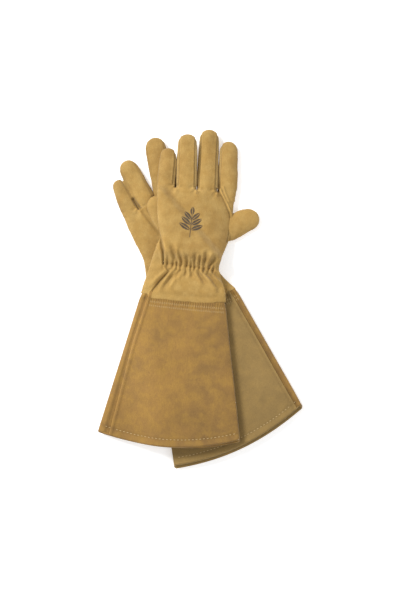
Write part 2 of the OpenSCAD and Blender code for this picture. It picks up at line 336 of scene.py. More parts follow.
def spline(sections, step):
    """The sections again, a short step apart on a smooth curve through them."""
    s = np.array(sections, float)
    d = np.concatenate([[0], np.cumsum(np.linalg.norm(np.diff(s[:, :2], axis=0), axis=1))])
    at = np.linspace(0, d[-1], max(2, int(d[-1] / step) + 1))
    slope = np.gradient(s, d, axis=0)
    i = np.clip(np.searchsorted(d, at, side="right") - 1, 0, len(d) - 2)
    gap = (d[i + 1] - d[i])[:, None]
    t = ((at - d[i]) / gap[:, 0])[:, None]
    return (s[i] * (1 + 2 * t) * (1 - t) ** 2 + slope[i] * gap * t * (1 - t) ** 2
            + s[i + 1] * t * t * (3 - 2 * t) - slope[i + 1] * gap * t * t * (1 - t))


def ring_point(s, angle, powers):
    """Point of a section [x, y, heading, width, thickness, lift], in flat plan metres."""
    a = s[3] / 2 * float(signed_pow(math.cos(angle), powers[0]))
    b = s[4] / 2 * float(signed_pow(math.sin(angle), powers[1]))
    c, h = math.cos(math.radians(s[2])), math.sin(math.radians(s[2]))
    return Vector((s[0] + a * c, s[1] + a * h, s[5] + HAND_H / 2 + b)) * MM


HAND_POWERS = (SIDE_POWER, CROWN_POWER)
STALL_POWERS = (0.84, 0.98)


def loft(bm, sections, segments=40, powers=STALL_POWERS):
    """A closed tube through the sections: a ring on each, bridged to the next."""
    rings = []
    for s in sections:
        ring = bmesh.ops.create_circle(bm, cap_ends=False, segments=segments, radius=1)["verts"]
        for k, vert in enumerate(ring):
            vert.co = ring_point(s, math.tau * k / segments, powers)
        rings.append(list(dict.fromkeys(e for v in ring for e in v.link_edges)))
    for near, far in zip(rings, rings[1:]):
        bmesh.ops.bridge_loops(bm, edges=near + far)
    for end in (rings[0], rings[-1]):
        bmesh.ops.contextual_create(bm, geom=end)


TIP_ANGLES = (18, 34, 48, 60, 70, 78, 84)
TIP_REACH = 0.55


def rounded_end(s):
    """Sections that close a stall in a round tip."""
    reach = TIP_REACH * s[3]
    turn = math.radians(s[2])
    made = []
    for angle in TIP_ANGLES:
        go = reach * math.sin(math.radians(angle))
        shrink = math.cos(math.radians(angle))
        made.append([s[0] - math.sin(turn) * go, s[1] + math.cos(turn) * go, s[2],
                     s[3] * shrink, s[4] * shrink ** 0.8, s[5]])
    return made


# --- Skins: voxel remeshed tubes swollen by a short cloth simulation ---
SIM_FRAMES = 14
# Metres that a point may move
SIM_LIMIT = 0.0014
SKIN_MASS = 0.3
SKIN_STRETCH = 6
SKIN_SHEAR = 5
SKIN_BEND = 0.1
SKIN_PRESSURE = 6000
# How firmly a point away from the seams is held, and how much of its sideways move it keeps
SOFT_HOLD = 0.3
SIDE_SHARE = 0.3
SMOOTHING = 3


def pillowed(obj, held):
    """Swells a flat skin between its held seams with a short cloth simulation under pressure."""
    scene = bpy.context.scene
    before = points_of(obj.data)
    group = obj.vertex_groups.new(name="held")
    for weight, chosen in ((SOFT_HOLD, held <= 0.5), (1.0, held > 0.5)):
        group.add([int(i) for i in np.nonzero(chosen)[0]], weight, "REPLACE")
    cloth = obj.modifiers.new("Cloth", "CLOTH")
    settings = cloth.settings
    settings.quality = 5
    settings.mass = SKIN_MASS
    settings.tension_stiffness = SKIN_STRETCH
    settings.compression_stiffness = SKIN_STRETCH
    settings.shear_stiffness = SKIN_SHEAR
    settings.bending_stiffness = SKIN_BEND
    settings.use_pressure = True
    settings.uniform_pressure_force = SKIN_PRESSURE
    settings.vertex_group_mass = "held"
    settings.effector_weights.gravity = 0
    cloth.point_cache.frame_start = 1
    cloth.point_cache.frame_end = SIM_FRAMES
    for number in range(1, SIM_FRAMES + 1):
        scene.frame_set(number)
    graph = bpy.context.evaluated_depsgraph_get()
    move = points_of(obj.evaluated_get(graph).data) - before
    obj.modifiers.remove(cloth)
    size = np.linalg.norm(move, axis=1, keepdims=True)
    move *= np.minimum(1, SIM_LIMIT / np.maximum(size, 1e-9))
    move[:, :2] *= SIDE_SHARE
    set_points(obj.data, before + move * (1 - np.clip(held, 0, 1))[:, None])
    scene.frame_set(1)


def fused(bm, voxel, name, held):
    """One smooth skin round all the closed tubes in bm. held tells how firmly points are sewn."""
    bmesh.ops.recalc_face_normals(bm, faces=bm.faces)
    mesh = mesh_from(bm, name)
    obj = linked(name, mesh)
    remesh = obj.modifiers.new("Skin", "REMESH")
    remesh.mode = "VOXEL"
    remesh.voxel_size = voxel
    smooth = obj.modifiers.new("Smooth", "SMOOTH")
    smooth.factor = 0.5
    smooth.iterations = SMOOTHING
    made = finished_mesh(obj)
    obj.modifiers.clear()
    obj.data = made
    bpy.data.meshes.remove(mesh)
    pillowed(obj, held(points_of(made) / MM))
    finer = obj.modifiers.new("Finer", "SUBSURF")
    finer.levels = 1
    finer.render_levels = 1
    finest = finished_mesh(obj)
    obj.data = finest
    bpy.data.meshes.remove(made)
    made = finest
    bpy.data.objects.remove(obj)
    made.name = name
    return made


# --- The hand of each glove, drawn flat before it is draped ---
HAND_SECTIONS = {
    "upper": [(3.2, -46, 0, 109), (3.2, -30, 0, 105), (1.9, -13, 0, 94.5), (1.2, 0, 0, 86.5),
              (3.6, 13, 0, 86), (9, 34, 0, 86.6), (7.5, 60, 0, 96), (6.2, 80, 0, 98),
              (5.3, 97, 0, 99)],
    "lower": [(10.5, -44, 0, 111), (7.3, -27, 0, 101), (5, -13, 0, 95), (3.5, 0, 0, 87),
              (5, 13, 0, 86), (9, 34, 0, 86), (9.4, 60, 0, 92), (8.4, 80, 0, 92.5),
              (7, 97, 0, 93)],
}
# The skin is made with the fingers this far further apart, then drawn together
FINGER_SPREAD = (7.2, 2.4, -2.4, -7.2)
FINGER_GAP = -0.5
THUMB_PLACES = {
    "upper": [(44, 54, -90, 34, 9.5, -1.2), (56.4, 56, -89, 36.5, 9.5, -1.2),
              (62.5, 60, -81, 34.5, 9.6, -1.2), (67.5, 63.3, -74, 32, 9.4, -1.3),
              (73.5, 66.6, -67, 29.5, 9, -1.5)],
    "lower": [(36, 36, 62, 25, 4.5, 8.4), (24, 44, 50, 26, 8, 10.2), (14, 56, 22, 27, 9, 10.7),
              (8.6, 70, 6, 27, 9, 10.7), (6.6, 91.5, 2, 26.5, 9, 10.7)],
}


def spread_share(y):
    """How much of the extra spread a finger has at a plan y."""
    return ease((y - 88) / 15)


def finger_line(glove, finger, y, spread=False):
    """Middle line of a finger at a plan y, as it lies or as it is made."""
    x, lean = glove.shapes[finger][:2]
    line = x - (y - ROOT_Y) * math.tan(math.radians(lean))
    return line + FINGER_SPREAD[finger] * spread_share(y) if spread else line


def of_finger(glove, column, finger):
    """A column of the finger shapes for each point's finger."""
    return np.array([s[column] for s in glove.shapes])[finger]


def finger_sections(glove, finger):
    """Sections of a finger's tube, from inside the hand to its round tip."""
    x, lean, width, length = glove.shapes[finger]
    turn = math.radians(lean)
    ahead = (-math.sin(turn), math.cos(turn))
    straight = length - TIP_REACH * width
    profile = [(-12, 0.8), (0, 0.98), (0.3 * straight, 1.02), (0.7 * straight, 1.0),
               (straight, 0.96)]
    places = [(x + ahead[0] * d, ROOT_Y + ahead[1] * d, lean, width * share,
               HAND_H * (share + 0.01), 0) for d, share in profile]
    smooth = [list(s) for s in spline(places, 5)]
    for s in smooth:
        s[0] += FINGER_SPREAD[finger] * float(spread_share(s[1]))
    return smooth + rounded_end(smooth[-1])


def nearest_finger(glove, p):
    """Number of the finger whose middle line is nearest as made, and the offset from it."""
    offsets = np.stack([
        (p[:, 0] - finger_line(glove, f, p[:, 1], True)) * math.cos(math.radians(shape[1]))
        for f, shape in enumerate(glove.shapes)])
    nearest = np.argmin(np.abs(offsets), axis=0)
    return nearest, offsets[nearest, np.arange(len(p))]


def drawn_together(glove, p):
    """Moves the fingers from where they are made to where they lie, side by side."""
    x, y = p[:, 0], p[:, 1]
    share = spread_share(y)
    made, lying = [], []
    for f in (LITTLE, RING, MIDDLE, INDEX):
        lean, width = glove.shapes[f][1:3]
        half = width / 2 / math.cos(math.radians(lean))
        middle = finger_line(glove, f, y)
        made += [middle + FINGER_SPREAD[f] * share + side * half for side in (-1, 1)]
        lying += [middle + side * half for side in (-1, 1)]
    for edge, finger in ((1, LITTLE), (3, RING), (5, MIDDLE)):
        over = np.maximum(0, lying[edge] + FINGER_GAP - lying[edge + 1])
        tip = ROOT_Y + glove.shapes[finger][LENGTH]
        lying[edge] = lying[edge] - over * share * (1 - ease((y - tip + 6) / 8))
    moved = np.where(x < made[0], x + lying[0] - made[0], x + lying[7] - made[7])
    for i in range(7):
        inside = (x >= made[i]) & (x < made[i + 1])
        t = (x - made[i]) / np.maximum(made[i + 1] - made[i], 1e-6)
        moved = np.where(inside, lying[i] + t * (lying[i + 1] - lying[i]), moved)
    return np.stack([moved, y, p[:, 2]], -1)


# Folds that run from the wrist gather of the top glove: path, width and depth share
GATHER_FOLDS = [
    ([(-36, 40), (-32, 26), (-28, 15), (-26, 1)], 2.2, 0.8),
    ([(-21, 30), (-16, 18), (-10, 3)], 2.6, 1.0),
    ([(-11, 21), (-6, 11), (-2, 2)], 2.0, 0.7),
    ([(2, 16), (4, 2)], 1.7, 0.5),
    ([(13.5, 20), (12.5, 3)], 2.0, 0.7),
    ([(20, 19), (18.5, 3)], 1.8, 0.6),
    ([(28, 25), (24.2, 3)], 2.3, 0.8),
    ([(41, 19), (32, 2)], 2.4, 0.9),
    ([(-17, -7), (-28, -22), (-38, -38)], 2.6, 1.0),
    ([(-9, -7), (-21, -26), (-25, -36)], 3.0, 1.0),
    ([(-4, -6), (-11, -18)], 1.9, 0.7),
    ([(4, -5), (3, -15)], 1.7, 0.5),
    ([(10.3, -5), (13, -15)], 1.9, 0.6),
    ([(17.5, -5), (26, -15), (32, -23)], 2.3, 0.9),
    ([(25, -3), (38, -13), (47, -23), (49.5, -37)], 2.8, 1.0),
    ([(36, -3), (47, -12), (53, -20)], 2.3, 0.9),
]
WING_SEAM = [(31.5, 102), (34.5, 98.5), (43, 87), (50.6, 73), (53.2, 62), (52.4, 48), (51, 36)]
WING_RIDGES = [[(35, 104), (38.5, 96), (46.5, 83), (53.6, 70)], [(38, 106), (42, 97), (49.5, 84)]]
PALM_TURN_SEAM = [(-35, 38), (-32.4, 26.6), (-28.4, 15.7), (-26.2, 0), (-18, -9.4), (-29, -23),
                  (-38, -38), (-41, -46)]

# Creases of the bottom palm: from the ring finger to the thumb, and down the little-finger edge
THUMB_CREASE = [(-19, 112), (-18.3, 108), (-13, 90), (-3.5, 60), (2, 45)]
EDGE_CREASE = [(-38, 80), (-30, 40), (-33, 5)]


def groove(p, path, width, depth, rim=0.0):
    """Height and painted light of a seam along a path: a narrow groove with painted shade in it and a
    slightly raised rim with a painted highlight.
    """
    d, share = along(p, path)
    line = bell(d / width)
    beside = bell((d - 2.1 * width) / width) if rim >= 0 else bell((d + 2.1 * width) / width)
    return -depth * line + abs(rim) * beside, -0.3 * line + 0.14 * beside * (rim != 0)


def gather(p, sizes):
    """Height and painted light of the gathered back of the wrist: painted highlights on the puckers
    and on the folds' shoulders, painted shade in their valleys.
    """
    x, y = p[:, 0], p[:, 1] + 0.02 * p[:, 0]
    window = ease((x + 31) / 7) * (1 - ease((x - 36) / 8))
    wobble = waves(np.stack([x, y * 0.3, 0 * x], -1), 9, 2.2)
    phase = 2 * np.abs(np.cos(math.pi * (x / 5.8 + 0.35 * wobble))) - 1.2
    across = bell(y / 6.0)
    trough = bell(y / 2.0)
    lift = sizes.pucker / MM * window * (phase * across - 0.5 * trough)
    tone = window * (0.13 * phase * across - 0.07 * trough)
    for path, width, share in GATHER_FOLDS:
        d, t = along(p, path)
        start_near = abs(path[0][1]) < abs(path[-1][1])
        near = t if start_near else 1 - t
        fade = ease((1 - near) / 0.45) * (0.4 + 0.6 * ease(near / 0.3))
        spread = width * (0.65 + 0.7 * near)
        depth = sizes.fold_depth / MM * share * fade
        lift += depth * (0.5 * bell((np.abs(d) - 2 * spread) / spread) - bell(d / spread))
        beside = bell((np.abs(d) - 2 * spread) / spread)
        tone += fade * share * (0.1 * beside - 0.17 * bell(d / spread))
    return lift, tone


def finger_shading(glove, p, n, finger, q):
    """Tone of the fingers: painted shade that rounds them, darker at their sides and on their far
    halves, and a darkening towards their tips.
    """
    y = p[:, 1]
    width = of_finger(glove, WIDTH, finger)
    on_finger = ease((y - 97) / 5)
    from_middle = np.clip(np.abs(q) / (width / 2), 0, 1)
    tone = -(0.1 + 0.08 * on_finger) * bell(n[:, 2] / 0.45)
    tone -= 0.1 * on_finger * ease((from_middle - 0.45) / 0.55)
    tone -= 0.05 * on_finger * (q > 0) * from_middle
    tone -= 0.07 * ease((y - PALM_L - 0.62 * of_finger(glove, LENGTH, finger)) / 22)
    return tone


def finger_seams(glove, y, finger, q, seam):
    """Height and painted light of the seams where the side strips meet a finger: painted shade in the
    groove and a painted highlight on the raised edge beside it.
    """
    width = of_finger(glove, WIDTH, finger)
    on_finger = ease((y - 97) / 5)
    reach = ease((118 + 0.5 * width - np.abs(y - PALM_L)) / 20)
    strength = 1.0 if glove.top else 0.35
    lift, tone = 0 * y, 0 * y
    for side in (-1, 1):
        has_fork = ~(((finger == INDEX) & (side > 0)) | ((finger == LITTLE) & (side < 0)))
        d = side * q - FORK_SHARE * width / 2
        line = bell(d / 0.75) * on_finger * has_fork
        inside = bell((d + 1.9) / 1.1) * on_finger * has_fork
        lift += strength * (0.35 * inside - 0.7 * seam * line)
        tone += strength * (0.05 * inside - 0.17 * line) * reach
    return lift, tone


def crotch_puckers(glove, x, y, both):
    """Height and painted light of the puckers that fan out below each finger crotch: painted
    highlights on the ripples and the raised rim, painted shade in the pit.
    """
    lift, tone = 0 * x, 0 * x
    roots = [finger_line(glove, f, ROOT_Y) for f in range(4)]
    for a, b in zip(roots, roots[1:]):
        middle = (a + b) / 2
        away = np.hypot(x - middle, (y - 100) * 0.9)
        angle = np.arctan2(x - middle, 101 - y)
        below = ease((103 - y) / 3)
        ripple = np.cos(6.5 * angle) * bell((away - 6.5) / 4) * below
        rim = bell((away - 4.2) / 1.5) * below
        pit = bell(away / 2.4)
        lift += (0.5 * ripple + 0.6 * rim - 0.4 * pit) * both
        tone += 0.08 * ripple + 0.12 * rim - 0.2 * pit
    return lift, tone


def upper_seams(p, up, sizes):
    """Height and painted light of the top hand's gather, its two seams and the ridges beside the wing,
    with painted highlights on the ridges and painted shade beside them.
    """
    lift, tone = gather(p, sizes)
    for path, rim in ((WING_SEAM, 0.7), (PALM_TURN_SEAM, -0.6)):
        made, shade = groove(p, path, 0.9, sizes.seam_depth / MM, rim)
        lift += made
        tone += shade
    for path in WING_RIDGES:
        d, t = along(p, path)
        fade = ease(t / 0.1) * ease((1 - t) / 0.2)
        lift += 0.9 * bell(d / 1.2) * fade
        tone += (0.25 * bell(d / 1.1) - 0.2 * bell((np.abs(d) - 2.2) / 0.9)) * fade
    return lift * up, tone * up


def lower_creases(p, up, down):
    """Height of the bottom palm's two creases and of the gather on its back, with painted shade in the
    crease from the ring finger to the thumb.
    """
    d, t = along(p, THUMB_CREASE)
    fade = ease((1 - t) / 0.5)
    lift = up * fade * (0.5 * bell((d - 4) / 2.5) - 1.5 * bell(d / 1.7))
    tone = up * fade * -0.22 * bell(d / 1.5)
    lift -= 0.5 * bell(along(p, EDGE_CREASE)[0] / 3) * up
    lift += 0.7 * np.cos(math.tau * p[:, 0] / 6.3) * bell(p[:, 1] / 8) * down
    return lift, tone


def sculpt(glove, p, n, finger, q, sizes):
    """Moves the flat skin's points for its seams, folds and soft unevenness, and paints the light and
    shade that follow them on a random tone.
    """
    x, y = p[:, 0], p[:, 1]
    up = ease((n[:, 2] + 0.1) / 0.5)
    down = ease((-n[:, 2] + 0.1) / 0.5)
    lift = 0.75 * waves(p, 34, glove.seed) + 0.35 * waves(p, 12, glove.seed + 5)
    tone = 0.035 * waves(p, 22, glove.seed + 12) + 0.04 * waves(p, 8, glove.seed + 13)
    tone += finger_shading(glove, p, n, finger, q)
    crease = waves(np.stack([x * 0.35, y, p[:, 2] * 0.3], -1), 9, glove.seed + 9)
    on_finger = ease((y - 97) / 5)
    lift += 0.28 * on_finger * crease
    # Painted light on the finger creases: lighter where they rise, darker where they sink
    tone += 0.05 * on_finger * crease
    for made, shade in (finger_seams(glove, y, finger, q, sizes.seam_depth / MM),
                        crotch_puckers(glove, x, y, up + down),
                        upper_seams(p, up, sizes) if glove.top else lower_creases(p, up, down)):
        lift += made
        tone += shade
    tone += 0.05 * waves(p, 5, glove.seed + 2) * up
    return p + n * lift[:, None], tone * (0.35 + 0.65 * up)


def drape(glove, p, finger):
    """Lays flat points on what is under them."""
    x, y = p[:, 0], p[:, 1]
    if not glove.top:
        return np.stack([x, y, np.maximum(0.05, p[:, 2] - FLAT_DIP)], -1)
    centre = np.choose(finger, [finger_line(glove, f, y) for f in range(4)])
    lean = 1 - 0.7 * ease((y - 92) / 12)
    base = support(centre + (x - centre) * lean, y)
    return np.stack([x, y, np.maximum(0.15, base + p[:, 2])], -1)


def skirt_edge(glove, p):
    """Trims the lower edge of the hand leather to its slanting line, on the side that shows."""
    x, y, z = p[:, 0], p[:, 1], p[:, 2]
    if glove.top:
        full = -46.0
        end = full + 5 * ease((x - 22) / 34) + 5.5 * (1 - ease((x + 42.5) / 4))
    else:
        full = -44.0
        end = full + 4 * ease((x - 45) / 10)
    back = -40.5 + (end + 40.5) * ease((z - 2.5) / 4)
    low = ease((-y - 20) / 20)
    share = np.clip((-y - 20) / (-full - 20), 0, 1.02)
    target = -20 - share * (-back - 20)
    return np.stack([x, y + (target - y) * low * (y < -20), z], -1)


def pressed(glove, z):
    """How firmly the half of a flat skin that meets the other glove is held."""
    middle = 0.5 * (z.min() + z.max())
    return ease((middle - z if glove.top else z - middle) / 1.5)


def sewn_hand(glove, p):
    """How firmly each point of a flat hand is held: fully at the seams, the gather and the hem."""
    y = p[:, 1]
    finger, q = nearest_finger(glove, p)
    fork_seam = np.abs(q) - FORK_SHARE * of_finger(glove, WIDTH, finger) / 2
    holds = [bell(fork_seam) * (y > KNUCKLE), pressed(glove, p[:, 2]), bell(y / 12),
             ease((-y - 34) / 6)]
    for path in (WING_SEAM, PALM_TURN_SEAM) if glove.top else ():
        holds.append(bell(along(p, path)[0] / 1.2) * (p[:, 2] > HAND_H / 2))
    return np.max(holds, axis=0)


def hand_body(glove, sizes):
    """The whole skin of a hand with its fingers, draped and in the row frame."""
    bm = bmesh.new()
    hand = [(x, y, heading, width, HAND_H, 0) for x, y, heading, width in HAND_SECTIONS[glove.key]]
    loft(bm, spline(hand, 7), 64, HAND_POWERS)
    for finger in range(4):
        loft(bm, finger_sections(glove, finger))
    mesh = fused(bm, sizes.voxel, glove.key + "_hand_body", lambda p: sewn_hand(glove, p))
    names = cut_hand(glove, mesh)
    p = points_of(mesh) / MM
    finger, q = nearest_finger(glove, p)
    n = normals_of(mesh)
    p, tone = sculpt(glove, skirt_edge(glove, drawn_together(glove, p)), n, finger, q, sizes)
    set_points(mesh, glove.to_row(drape(glove, p, finger)))
    set_painted_light_and_tone(mesh, tone)
    return mesh, names


# Only faces this near to a cut are cut
CUT_REACH = 4


def cut(bm, chosen, at, direction):
    """Cuts the chosen faces of a flat skin with an upright plane through a plan point."""
    bm.faces.ensure_lookup_table()
    faces = [bm.faces[i] for i in np.nonzero(chosen)[0]]
    edges = list(dict.fromkeys(e for f in faces for e in f.edges))
    verts = list(dict.fromkeys(v for f in faces for v in f.verts))
    bmesh.ops.bisect_plane(bm, geom=verts + edges + faces, dist=1e-7,
                           plane_co=(*(v * MM for v in at), 0), plane_no=(*direction, 0))
    return np.array([f.calc_center_median() for f in bm.faces]) / MM


def fork_sides(finger):
    """Sides of a finger that have a strip: -1 towards the little finger, 1 towards the thumb."""
    return [side for side in (-1, 1) if not (finger == INDEX and side > 0)
            and not (finger == LITTLE and side < 0)]


def cut_hand(glove, mesh):
    """Cuts a flat hand along its bending lines and finger seams, and numbers its pieces."""
    bm = bmesh.new()
    bm.from_mesh(mesh)
    c = np.array([f.calc_center_median() for f in bm.faces]) / MM
    for y in (KNUCKLE, 0):
        c = cut(bm, np.abs(c[:, 1] - y) < CUT_REACH, (0, y), (0, 1))
    if not glove.top:
        near = (nearest_finger(glove, c)[0] == RING) & (np.abs(c[:, 1] - RING_BEND_Y) < CUT_REACH)
        c = cut(bm, near, (0, RING_BEND_Y), (0, 1))
    for f, (x, lean, width, length) in enumerate(glove.shapes):
        turn = math.radians(lean)
        line = FORK_SHARE * width / 2
        for side in fork_sides(f):
            finger, q = nearest_finger(glove, c)
            near = (finger == f) & (c[:, 1] > KNUCKLE) & (np.abs(side * q - line) < CUT_REACH)
            offset = side * line / math.cos(turn) + FINGER_SPREAD[f]
            c = cut(bm, near, (x + offset, ROOT_Y), (math.cos(turn), math.sin(turn)))
    finger, q = nearest_finger(glove, c)
    names = ["hand", "skirt"]
    kind = np.where(c[:, 1] < 0, 1, 0)
    for f, shape in enumerate(glove.shapes):
        here = (c[:, 1] > KNUCKLE) & (finger == f)
        names.append(FINGERS[f] + "_stall")
        kind[here] = len(names) - 1
        for side in fork_sides(f):
            names.append(f"{FINGERS[f]}_strip_{'thumb' if side > 0 else 'far'}_side")
            kind[here & (side * q > FORK_SHARE * shape[WIDTH] / 2)] = len(names) - 1
        if not glove.top and f == RING:
            names.append("ring_root_stall")
            kind[here & (c[:, 1] < RING_BEND_Y)] = len(names) - 1
    for face, k in zip(bm.faces, kind):
        face.material_index = int(k)
    bm.to_mesh(mesh)
    bm.free()
    return names


def split(mesh, glove, names):
    """Splits a mesh into one object for each numbered piece, keeping the whole skin's shading."""
    for name in names:
        mesh.materials.append(bpy.data.materials.new("cut_" + name))
    smooth_shaded(mesh)
    layer = mesh.attributes.new("skin_normal", "FLOAT_VECTOR", "POINT")
    layer.data.foreach_set("vector", normals_of(mesh).astype(np.float32).ravel())
    obj = linked("whole", mesh)
    for other in bpy.context.selected_objects:
        other.select_set(False)
    obj.select_set(True)
    bpy.context.view_layer.objects.active = obj
    bpy.ops.object.mode_set(mode="EDIT")
    bpy.ops.mesh.select_all(action="SELECT")
    bpy.ops.mesh.separate(type="MATERIAL")
    bpy.ops.object.mode_set(mode="OBJECT")
    made = {}
    for piece in list(bpy.context.selected_objects):
        name = piece.data.materials[piece.data.polygons[0].material_index].name[len("cut_"):]
        data = piece.data
        flat = np.zeros(len(data.vertices) * 3, np.float32)
        data.attributes["skin_normal"].data.foreach_get("vector", flat)
        data.attributes.remove(data.attributes["skin_normal"])
        data.materials.clear()
        data.polygons.foreach_set("material_index", [0] * len(data.polygons))
        data.normals_split_custom_set_from_vertices(flat.reshape(-1, 3))
        piece.name = data.name = f"{glove.key}_{name}"
        made[name] = piece
    for name in names:
        bpy.data.materials.remove(bpy.data.materials["cut_" + name])
    return made


# --- Materials ---
def add(tree, kind, place, **values):
    """A shader node with its settings and the constants on its sockets."""
    node = tree.nodes.new(kind)
    node.location = place
    for key, value in values.items():
        if key.startswith("in_"):
            socket = key[3:].replace("_", " ")
            node.inputs[int(socket) if socket.isdigit() else socket].default_value = value
        else:
            setattr(node, key, value)
    return node


def feed(tree, socket, value):
    """Gives a socket a link if the value is another socket, or else the value itself."""
    if isinstance(value, bpy.types.NodeSocket):
        tree.links.new(value, socket)
    else:
        socket.default_value = value


def mixed(tree, place, blend_type, factor, a, b):
    """A colour mix. Each of factor, a and b is a socket or a constant."""
    node = add(tree, "ShaderNodeMix", place, data_type="RGBA", blend_type=blend_type)
    for number, value in ((0, factor), (6, a), (7, b)):
        feed(tree, node.inputs[number], value)
    return node.outputs[2]


def ranged(tree, place, source, low, high, out_low=0.0, out_high=1.0):
    node = add(tree, "ShaderNodeMapRange", place, in_1=low, in_2=high, in_3=out_low, in_4=out_high)
    node.interpolation_type = "SMOOTHSTEP"
    tree.links.new(source, node.inputs[0])
    return node.outputs[0]


def math_node(tree, place, operation, *values):
    node = add(tree, "ShaderNodeMath", place, operation=operation)
    for socket, value in zip(node.inputs, values):
        feed(tree, socket, value)
    return node.outputs[0]


def noise_node(tree, place, vector, scale, detail=3.0, roughness=0.55):
    node = add(tree, "ShaderNodeTexNoise", place, in_Scale=scale, in_Detail=detail,
               in_Roughness=roughness)
    tree.links.new(vector, node.inputs["Vector"])
    return node.outputs["Fac"]


def rgba(value):
    return (*value, 1.0)


def suede(name, base, dark, light, turn=0.0, patches=0.6, nap=0.5, ink=None):
    """Brushed leather: broad patches, mottling, streaked nap and a fine fibrous bump."""
    material = bpy.data.materials.new(name)
    material.use_nodes = True
    tree = material.node_tree
    tree.nodes.clear()
    coords = add(tree, "ShaderNodeTexCoord", (-1500, 0)).outputs["Object"]
    turned = add(tree, "ShaderNodeMapping", (-1300, 0), in_Rotation=(0, 0, -turn))
    tree.links.new(coords, turned.inputs["Vector"])
    turned = turned.outputs["Vector"]
    streak = add(tree, "ShaderNodeMapping", (-1100, -250), in_Scale=(1, 0.3, 1))
    tree.links.new(turned, streak.inputs["Vector"])
    streak = streak.outputs["Vector"]
    broad = ranged(tree, (-700, 300), noise_node(tree, (-900, 300), turned, 16, 3), 0.36, 0.68)
    middle = ranged(tree, (-700, 100), noise_node(tree, (-900, 100), turned, 75, 4, 0.6), 0.35, 0.7)
    fine = ranged(tree, (-700, -100), noise_node(tree, (-900, -100), streak, 620, 3, 0.7), 0.3, 0.72)
    speck = noise_node(tree, (-900, -300), turned, 1900, 2, 0.7)
    shade = math_node(tree, (-500, 250), "MULTIPLY", broad, patches)
    made = mixed(tree, (-300, 250), "MIX", shade, rgba(base), rgba(dark))
    shade = math_node(tree, (-500, 80), "MULTIPLY", middle, 0.55)
    made = mixed(tree, (-150, 200), "MIX", shade, made, rgba(light))
    shade = math_node(tree, (-500, -80), "MULTIPLY", fine, nap * 0.5)
    made = mixed(tree, (0, 150), "MIX", shade, made, rgba(dark))
    # The colour is multiplied by one plus the skin's painted light and shade (with its random tone)
    # and a random grain
    tone = add(tree, "ShaderNodeAttribute", (-300, -150), attribute_name="tone").outputs["Fac"]
    grain = ranged(tree, (-500, -300), speck, 0.3, 0.7, -0.14, 0.14)
    level = math_node(tree, (-100, -150), "ADD", tone, grain)
    level = math_node(tree, (50, -150), "ADD", level, 1.0)
    grey = add(tree, "ShaderNodeCombineColor", (200, -150))
    for socket in grey.inputs[:3]:
        tree.links.new(level, socket)
    made = mixed(tree, (350, 150), "MULTIPLY", 1.0, made, grey.outputs[0])
    if ink is not None:
        mask = sprig_mask(tree, ink["centre"], turned)
        made = mixed(tree, (500, 150), "MIX", mask, made, rgba(ink["colour"]))
    shader = add(tree, "ShaderNodeBsdfPrincipled", (850, 100), in_Roughness=0.88,
                 in_Sheen_Weight=0.28, in_Sheen_Roughness=0.45,
                 in_Sheen_Tint=(1.0, 0.93, 0.8, 1.0), in_Specular_IOR_Level=0.25)
    tree.links.new(made, shader.inputs["Base Color"])
    rough = ranged(tree, (550, -50), middle, 0.0, 1.0, 0.8, 0.95)
    tree.links.new(rough, shader.inputs["Roughness"])
    pores = noise_node(tree, (-900, -500), turned, 260, 5, 0.65)
    fibre = noise_node(tree, (-900, -650), streak, 1300, 3, 0.7)
    first = add(tree, "ShaderNodeBump", (450, -350), in_Strength=0.5, in_Distance=0.0009)
    tree.links.new(pores, first.inputs["Height"])
    second = add(tree, "ShaderNodeBump", (650, -350), in_Strength=0.55, in_Distance=0.0003)
    tree.links.new(fibre, second.inputs["Height"])
    tree.links.new(first.outputs[0], second.inputs["Normal"])
    tree.links.new(second.outputs[0], shader.inputs["Normal"])
    out = add(tree, "ShaderNodeOutputMaterial", (1150, 100))
    tree.links.new(shader.outputs[0], out.inputs["Surface"])
    return material


def leaf_group():
    """Node group: 1 inside a pointed leaf outline and its midrib, 0 outside."""
    group = bpy.data.node_groups.new("Leaf", "ShaderNodeTree")
    for name, kind in (("Vector", "NodeSocketVector"), ("Place", "NodeSocketVector"),
                       ("Angle", "NodeSocketFloat"), ("Length", "NodeSocketFloat"),
                       ("Width", "NodeSocketFloat")):
        group.interface.new_socket(name, in_out="INPUT", socket_type=kind)
    group.interface.new_socket("Mask", in_out="OUTPUT", socket_type="NodeSocketFloat")
    start = group.nodes.new("NodeGroupInput")
    end = group.nodes.new("NodeGroupOutput")
    away = add(group, "ShaderNodeVectorMath", (200, 0), operation="SUBTRACT")
    group.links.new(start.outputs["Vector"], away.inputs[0])
    group.links.new(start.outputs["Place"], away.inputs[1])
    turn = add(group, "ShaderNodeVectorRotate", (400, 0), rotation_type="Z_AXIS")
    group.links.new(away.outputs[0], turn.inputs["Vector"])
    group.links.new(start.outputs["Angle"], turn.inputs["Angle"])
    parts = add(group, "ShaderNodeSeparateXYZ", (600, 0))
    group.links.new(turn.outputs[0], parts.inputs[0])
    share = math_node(group, (800, 0), "DIVIDE", parts.outputs["X"], start.outputs["Length"])
    swell = math_node(group, (950, 0), "MULTIPLY_ADD", share, 2.0, -1.0)
    swell = math_node(group, (1100, 0), "MULTIPLY", swell, swell)
    swell = math_node(group, (1250, 0), "SUBTRACT", 1.0, swell)
    limit = math_node(group, (1400, 0), "MULTIPLY", swell, start.outputs["Width"])
    across = math_node(group, (1400, -200), "ABSOLUTE", parts.outputs["Y"])
    inner = math_node(group, (1600, 0), "SUBTRACT", limit, across)
    filled = ranged(group, (1800, 0), inner, -0.0001, 0.0002)
    rib = ranged(group, (1800, -200), across, 0.0002, 0.00045)
    mask = math_node(group, (2000, 0), "MULTIPLY", filled, rib)
    group.links.new(mask, end.inputs[0])
    return group


# Metres above the floor that the sprig starts at, so that it stays off the palm
INK_ABOVE = 0.018
